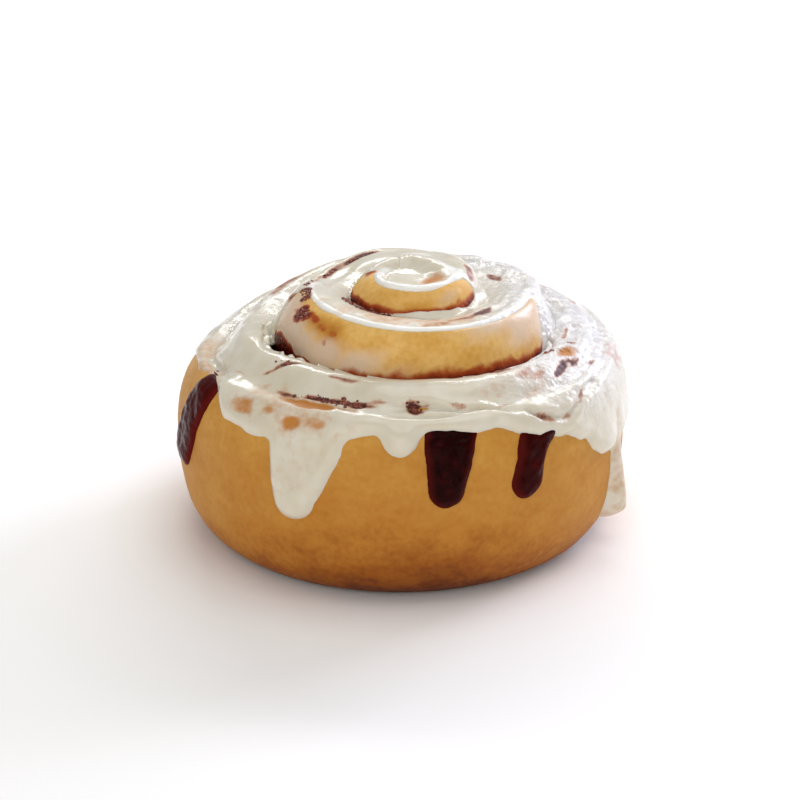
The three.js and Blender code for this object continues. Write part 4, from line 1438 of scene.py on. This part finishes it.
    def thickness(self, skin: Skin, thin: Array) -> Array:
        """Gives the icing's full thickness, more in drips and less in thin places."""
        on_wall = smooth((skin.reach - 46.0) / 8.0)
        thick = mix(self.top_thickness, self.wall_thickness, on_wall)
        wall = FORM.wall_radius(skin.azimuth)
        for run in self.runs:
            share = smooth(run.inside(skin.degrees, skin.height, wall) / run.widths[1])
            near_tip = smooth((run.root[1] - skin.height) / max(run.root[1] - run.tip[1], 1.0))
            thick = thick + (run.thick - self.wall_thickness) * on_wall * share * near_tip
        waves = 0.3 * FLOW_NOISE.layered(skin.points, 8.0, 2)
        waves = waves + 0.35 * on_wall * FLOW_NOISE.at(skin.points, 13.0)
        return np.maximum(thick * (1.0 - 0.45 * thin) + waves, 0.35)

    def build(self) -> bpy.types.Object:
        """Makes the icing as a shell whose edge dips under the crust."""
        azimuth = np.arange(self.columns) / self.columns
        reach = np.linspace(0.25, self.reach_end, self.rows)
        skin = Skin(azimuth, reach, self.grooved, level=self.levelling)
        wobble = FLOW_NOISE.layered(skin.points, 4.2, 2)
        bare = inside_bare(skin.radius, skin.azimuth, wobble)
        inside = self.inside(skin, bare, wobble)
        thin = painted(self.thin_and_shaded_places, skin.degrees, skin.reach, wobble)
        streak_and_shade = painted(self.streaks_and_shade, skin.degrees, skin.reach, wobble)
        thick = self.thickness(skin, thin)
        taper = mix(1.0, 0.5, smooth((bare + 5.0) / 4.0))
        edges = np.max([face.rimmed(skin.radius, skin.azimuth) for face in BARE_FACES], axis=0)
        lip = 1.0 + 0.25 * bump(inside - 2.1, 1.4) + 0.5 * edges
        thick = thick * (1.0 - 0.45 * smooth((bare + 6.0) / 4.0))
        edge = 1.0 - np.exp(-np.abs(inside) / taper)
        iced = smooth(inside / 2.0)
        relief = iced * (self.seam_groove(skin) + self.flow_ridges(skin) - 0.35 * streak_and_shade)
        lift = np.where(inside > 0.0, thick * lip * edge, -self.embedding * edge) + relief
        lift = np.maximum(lift, -self.embedding + 0.3)
        hang = self.hanging(skin)
        stand = hang * (1.0 - skin.ratio) * FORM.wall_radius(skin.azimuth)
        radial = plan(np.ones_like(hang), skin.azimuth, np.zeros_like(hang))
        skin.normals = mix(skin.normals, radial, hang[..., None])
        self.surface = skin.lifted(np.maximum(lift, 0.0) + stand)
        self.outward = skin.normals
        outer = skin.lifted(lift + stand)
        inner = skin.lifted(np.maximum(stand - 2.4, 0.0) - self.embedding)
        cut = CutSheet(inside + 0.8 * taper, wrap=True)
        pole = np.arange(self.columns)[None, ::-1] * self.rows
        faces = shell_faces([*cut.faces, pole], outer.shape[0] * outer.shape[1])
        points = np.concatenate([cut.moved(sheet).reshape(-1, 3) for sheet in (outer, inner)])
        # Painted highlight: the rim mark, along the crests of the bare faces and round the cup's rim.
        cup_rim = bump(skin.radius / interpolated(CUP.rim, skin.degrees) - 0.94, 0.1)
        rim = np.maximum(edges, cup_rim * smooth((skin.radius - 3.0) / 2.0))
        marks = {"thin": thin, "streak_and_shade": streak_and_shade, "ridges_and_sheen": self.ridges_and_sheen(skin), "rim": rim}
        both = {key: np.tile(cut.moved(value).ravel(), 2) for key, value in marks.items()}
        piece = make_piece("poured_icing", points, [face[:, ::-1] for face in faces], both,
                           self.finish.build())
        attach(piece, BODY)
        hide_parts("icing")
        return piece


@dataclass
class SyrupRun:
    """One tongue of cinnamon syrup on the wall, from under the icing's edge."""

    node: str
    runs: tuple[Run, ...]
    redness: float
    columns: int = 110
    rows: int = 130
    blend: float = 2.0

    def build(self, material: bpy.types.Material) -> bpy.types.Object:
        """Makes the tongue as a shell whose edge dips under the crust.

        Args:
            material: The syrup's finish.

        Returns:
            The piece.
        """
        top, low = self.runs[0], self.runs[-1]
        half = 360.0 * (max(top.widths + low.widths) + 4.0) / (TAU * FORM.mean_radius)
        sides = [run_end[0] for run in self.runs for run_end in (run.root, run.tip)]
        azimuth = np.linspace(min(sides) - half, max(sides) + half, self.columns) / 360.0
        start, end = PROFILE.reach_at(np.array([top.root[1] + 4.0, low.tip[1] - low.widths[1] - 4.0]))
        skin = Skin(azimuth, np.linspace(max(start, 46.0), end, self.rows),
                    lambda degrees, reach: np.ones_like(reach), wrap=False)
        wall = FORM.wall_radius(skin.azimuth)
        inside = top.inside(skin.degrees, skin.height, wall)
        for run in self.runs[1:]:
            inside = soft_max(inside, run.inside(skin.degrees, skin.height, wall), self.blend)
        inside = inside + 0.3 * STAIN_NOISE.layered(skin.points, 3.6, 2)
        lumps = 0.3 * STAIN_NOISE.layered(skin.points, 2.6, 2)
        hidden = smooth((skin.height - top.root[1] + 4.0) / 3.0)
        thick = mix(np.maximum(top.thick + lumps, 0.3), 0.35, hidden)
        dome = np.sqrt(1.0 - (1.0 - np.clip(inside / 3.0, 0.0, 1.0)) ** 2)
        lift = np.where(inside > 0.0, thick * dome, np.maximum(inside, -0.45))
        cut = CutSheet(inside + 0.3, wrap=False)
        sheets = (skin.lifted(lift), skin.lifted(np.full_like(lift, -0.6)))
        points = np.concatenate([cut.moved(sheet).reshape(-1, 3) for sheet in sheets])
        thin = cut.moved(self.redness + 0.35 * smooth(1.0 - inside / 2.2))
        faces = shell_faces(cut.faces, lift.size)
        piece = make_piece(self.node + "_tongue", points, [face[:, ::-1] for face in faces],
                           {"thin": np.tile(thin.ravel(), 2)}, material)
        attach(piece, BODY)
        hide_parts(self.node)
        return piece


SYRUP_RUNS = (
    SyrupRun("syrup_drip_left", (Run((209.5, 46), (199.0, 25.5), (4.4, 5.4), 1.2),), 0.3),
    SyrupRun("syrup_drip_front", (Run((284.0, 43), (282.2, 30.2), (6.6, 4.2), 1.3),), 0.0),
    SyrupRun("syrup_drip_right", (Run((308.5, 42), (305.6, 36.0), (6.6, 3.4), 1.3),
                                  Run((305.0, 36), (303.0, 29.0), (3.4, 4.1), 1.3)), 0.12),
)


@dataclass
class CinnamonCrumbs:
    """Wet crumbs of cinnamon sugar on the icing and at the foot of the inner coil.

    Each crumb is a small ball of a few rings of points, squashed along its three axes and
    dented, and set into the surface by the share sunk of its radius. clusters holds the
    places and how many crumbs lie in each.
    """

    cap: IcingCap
    seed: int = 5
    around: int = 8
    rings: int = 5
    radius: tuple[float, float] = (0.22, 0.62)
    sunk: float = 0.35
    finish: Finish = field(default_factory=lambda: StickyCinnamon(
        "wet_cinnamon_crumbs", dark="#50160E", warm="#A25A44", grain=1.3))
    clusters: tuple[tuple[Patch, int], ...] = (
        (Patch(226, 15.6, 2.6, 1.5), 70), (Patch(236, 15.7, 2.8, 1.4), 66),
        (Patch(246, 15.6, 2.6, 1.0), 34), (Patch(257, 15.8, 3.0, 0.5), 12),
        (Patch(246, 43.8, 4.0, 0.5), 24), (Patch(254, 43.8, 4.0, 0.6), 34),
        (Patch(259, 44.1, 2.0, 0.5), 14), (Patch(275.4, 44.0, 1.2, 1.0), 24),
        (Patch(230, 38.4, 2.4, 0.4), 8),
        (Patch(334, 39.3, 1.2, 0.6), 10), (Patch(194, 22.4, 2.2, 0.9), 24),
        (Patch(203, 23.4, 1.8, 0.9), 20), (Patch(117, 18.6, 3.4, 0.6), 26),
        (Patch(148, 19.4, 3.0, 0.6), 14), (Patch(178, 21.6, 2.6, 0.6), 14),
        (Patch(211, 26.0, 2.0, 0.9), 20), (Patch(218, 26.6, 1.6, 0.6), 8))

    def ball(self) -> tuple[Array, list[Array]]:
        """Makes one ball of latitude rings, closed at its poles by fans.

        Returns:
            Its points on a unit sphere, and its faces.
        """
        tilt = np.linspace(0.0, math.pi, self.rings + 2)[1:-1][:, None]
        swing = TAU * np.arange(self.around)[None, :] / self.around
        body = np.stack([np.sin(tilt) * np.cos(swing), np.sin(tilt) * np.sin(swing),
                         np.cos(tilt) * np.ones_like(swing)], axis=-1).reshape(-1, 3)
        points = np.vstack([body, [[0, 0, 1], [0, 0, -1]]])
        quads = grid_quads(self.rings, self.around, False, True)
        index, after = np.arange(self.around), (np.arange(self.around) + 1) % self.around
        last = (self.rings - 1) * self.around
        top = np.stack([np.full(self.around, len(body)), index, after], axis=-1)
        foot = np.stack([np.full(self.around, len(body) + 1), last + after, last + index], axis=-1)
        return points, [quads, np.vstack([top, foot])]

    def places(self, random: np.random.Generator) -> tuple[Array, Array]:
        """Draws the crumbs' places on the icing's surface.

        Args:
            random: The generator that the draws come from.

        Returns:
            Their places in mm, and the surface's normals there.
        """
        spots = []
        for patch, count in self.clusters:
            off = np.clip(random.normal(0.0, 0.6, (count, 2)), -1.3, 1.3) * (patch.length, patch.width)
            around = patch.reach * TAU / 360.0
            places = (patch.azimuth + off[:, 0] / around, patch.reach + off[:, 1])
            spots.append(np.stack(places, axis=-1))
        degrees, reach = np.vstack(spots).T
        columns, rows = self.cap.surface.shape[:2]
        i = np.round(degrees / 360.0 * columns).astype(int) % columns
        j = np.round((reach - 0.25) / (self.cap.reach_end - 0.25) * (rows - 1)).astype(int)
        return self.cap.surface[i, j], self.cap.outward[i, j]

    def build(self) -> bpy.types.Object:
        """Makes all the crumbs as one joined mesh."""
        random = np.random.default_rng(self.seed)
        centres, normals = self.places(random)
        count = len(centres)
        ball, faces = self.ball()
        size = random.uniform(*self.radius, (count, 1, 1)) * random.uniform(0.5, 1.3, (count, 1, 3))
        turned, _ = np.linalg.qr(random.normal(size=(count, 3, 3)))
        turned = turned * np.sign(np.linalg.det(turned))[:, None, None]
        dents = 1.0 + 0.22 * random.uniform(-1.0, 1.0, (count, len(ball), 1))
        sunk = normals * size.mean(axis=(1, 2))[:, None] * self.sunk
        points = (ball[None] * size * dents) @ turned + (centres - sunk)[:, None, :]
        starts = (np.arange(count) * len(ball))[:, None, None]
        joined = [(face[None] + starts).reshape(-1, face.shape[1]) for face in faces]
        piece = make_piece("cinnamon_crumbs", points.reshape(-1, 3), joined, {}, self.finish.build())
        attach(piece, BODY)
        return piece


# The studio

@dataclass(frozen=True)
class Studio:
    """The floor, the lights and the camera at the photograph's angle."""

    elevation: float = 24.0
    distance: float = 0.62
    lens: float = 115.15
    target: tuple[float, float, float] = (0.92, 0.0, 28.74)

    def floor(self) -> bpy.types.Object:
        """Lays a wide pale board under the roll."""
        span = 4.0 / MM
        corners = span * np.array([(-1, -1, 0), (1, -1, 0), (1, 1, 0), (-1, 1, 0)])
        board = make_piece("floor_board", corners, [np.arange(4)[None, :]], {}, MattBoard().build())
        return board

    def camera(self) -> bpy.types.Object:
        """Sets the camera in front of the roll, looking down by the elevation."""
        camera = bpy.data.objects.new("camera", bpy.data.cameras.new("camera"))
        camera.data.lens = self.lens
        camera.data.sensor_width = 36.0
        camera.data.clip_start, camera.data.clip_end = 0.01, 20.0
        aim = Vector(PLACE.metres(np.array(self.target)))
        tilt = math.radians(self.elevation)
        back = Vector((0.0, -math.cos(tilt), math.sin(tilt)))
        camera.location = aim + back * self.distance
        camera.rotation_euler = (-back).to_track_quat("-Z", "Y").to_euler()
        bpy.context.scene.collection.objects.link(camera)
        bpy.context.scene.camera = camera
        return camera

    def softbox(self, name: str, place: tuple[float, float, float], size: tuple[float, float],
                power: float, tint: str = "#FFFFFF") -> None:
        """Hangs an area light that looks at the roll.

        Args:
            name: The light's name.
            place: Where it hangs, in metres.
            size: Its width and height in metres.
            power: Its power in watts.
            tint: Its colour.
        """
        light = bpy.data.lights.new(name, "AREA")
        light.shape, light.energy = "RECTANGLE", power
        light.size, light.size_y = size
        light.color = linear(tint)[:3]
        lamp = bpy.data.objects.new(name, light)
        lamp.location = place
        towards = Vector((0.0, 0.0, 0.03)) - Vector(place)
        lamp.rotation_euler = towards.to_track_quat("-Z", "Y").to_euler()
        bpy.context.scene.collection.objects.link(lamp)

    def light(self) -> None:
        """Lights the roll softly from behind on the right, above and in front."""
        self.softbox("window_behind", (0.15, 1.05, 0.85), (1.2, 0.22), 7.0)
        self.softbox("window_right", (0.95, 0.85, 0.5), (0.5, 0.5), 11.0, "#E6E8FF")
        self.softbox("sky_above", (0.2, 0.0, 1.3), (0.9, 0.9), 4.0)
        self.softbox("fill_front", (-0.25, -1.2, 0.55), (2.2, 1.0), 6.2, "#FFF6EA")
        world = bpy.data.worlds.new("pale_room")
        world.use_nodes = True
        background = world.node_tree.nodes["Background"]
        background.inputs["Color"].default_value = linear("#FFFFFF")
        background.inputs["Strength"].default_value = 0.42
        bpy.context.scene.world = world
        bpy.context.scene.view_settings.view_transform = "Standard"

    def build(self) -> None:
        """Sets up the whole studio."""
        self.floor()
        self.camera()
        self.light()


def main() -> None:
    """Builds the studio and the roll's pieces in order."""
    logging.basicConfig(level=logging.INFO, format="%(message)s")
    Studio().build()
    DoughCoil().build()
    CinnamonFilling().build()
    cap = IcingCap()
    cap.build()
    CinnamonCrumbs(cap).build()
    syrup = CinnamonSyrup().build()
    for tongue in SYRUP_RUNS:
        tongue.build(syrup)


if __name__ == "__main__":
    main()
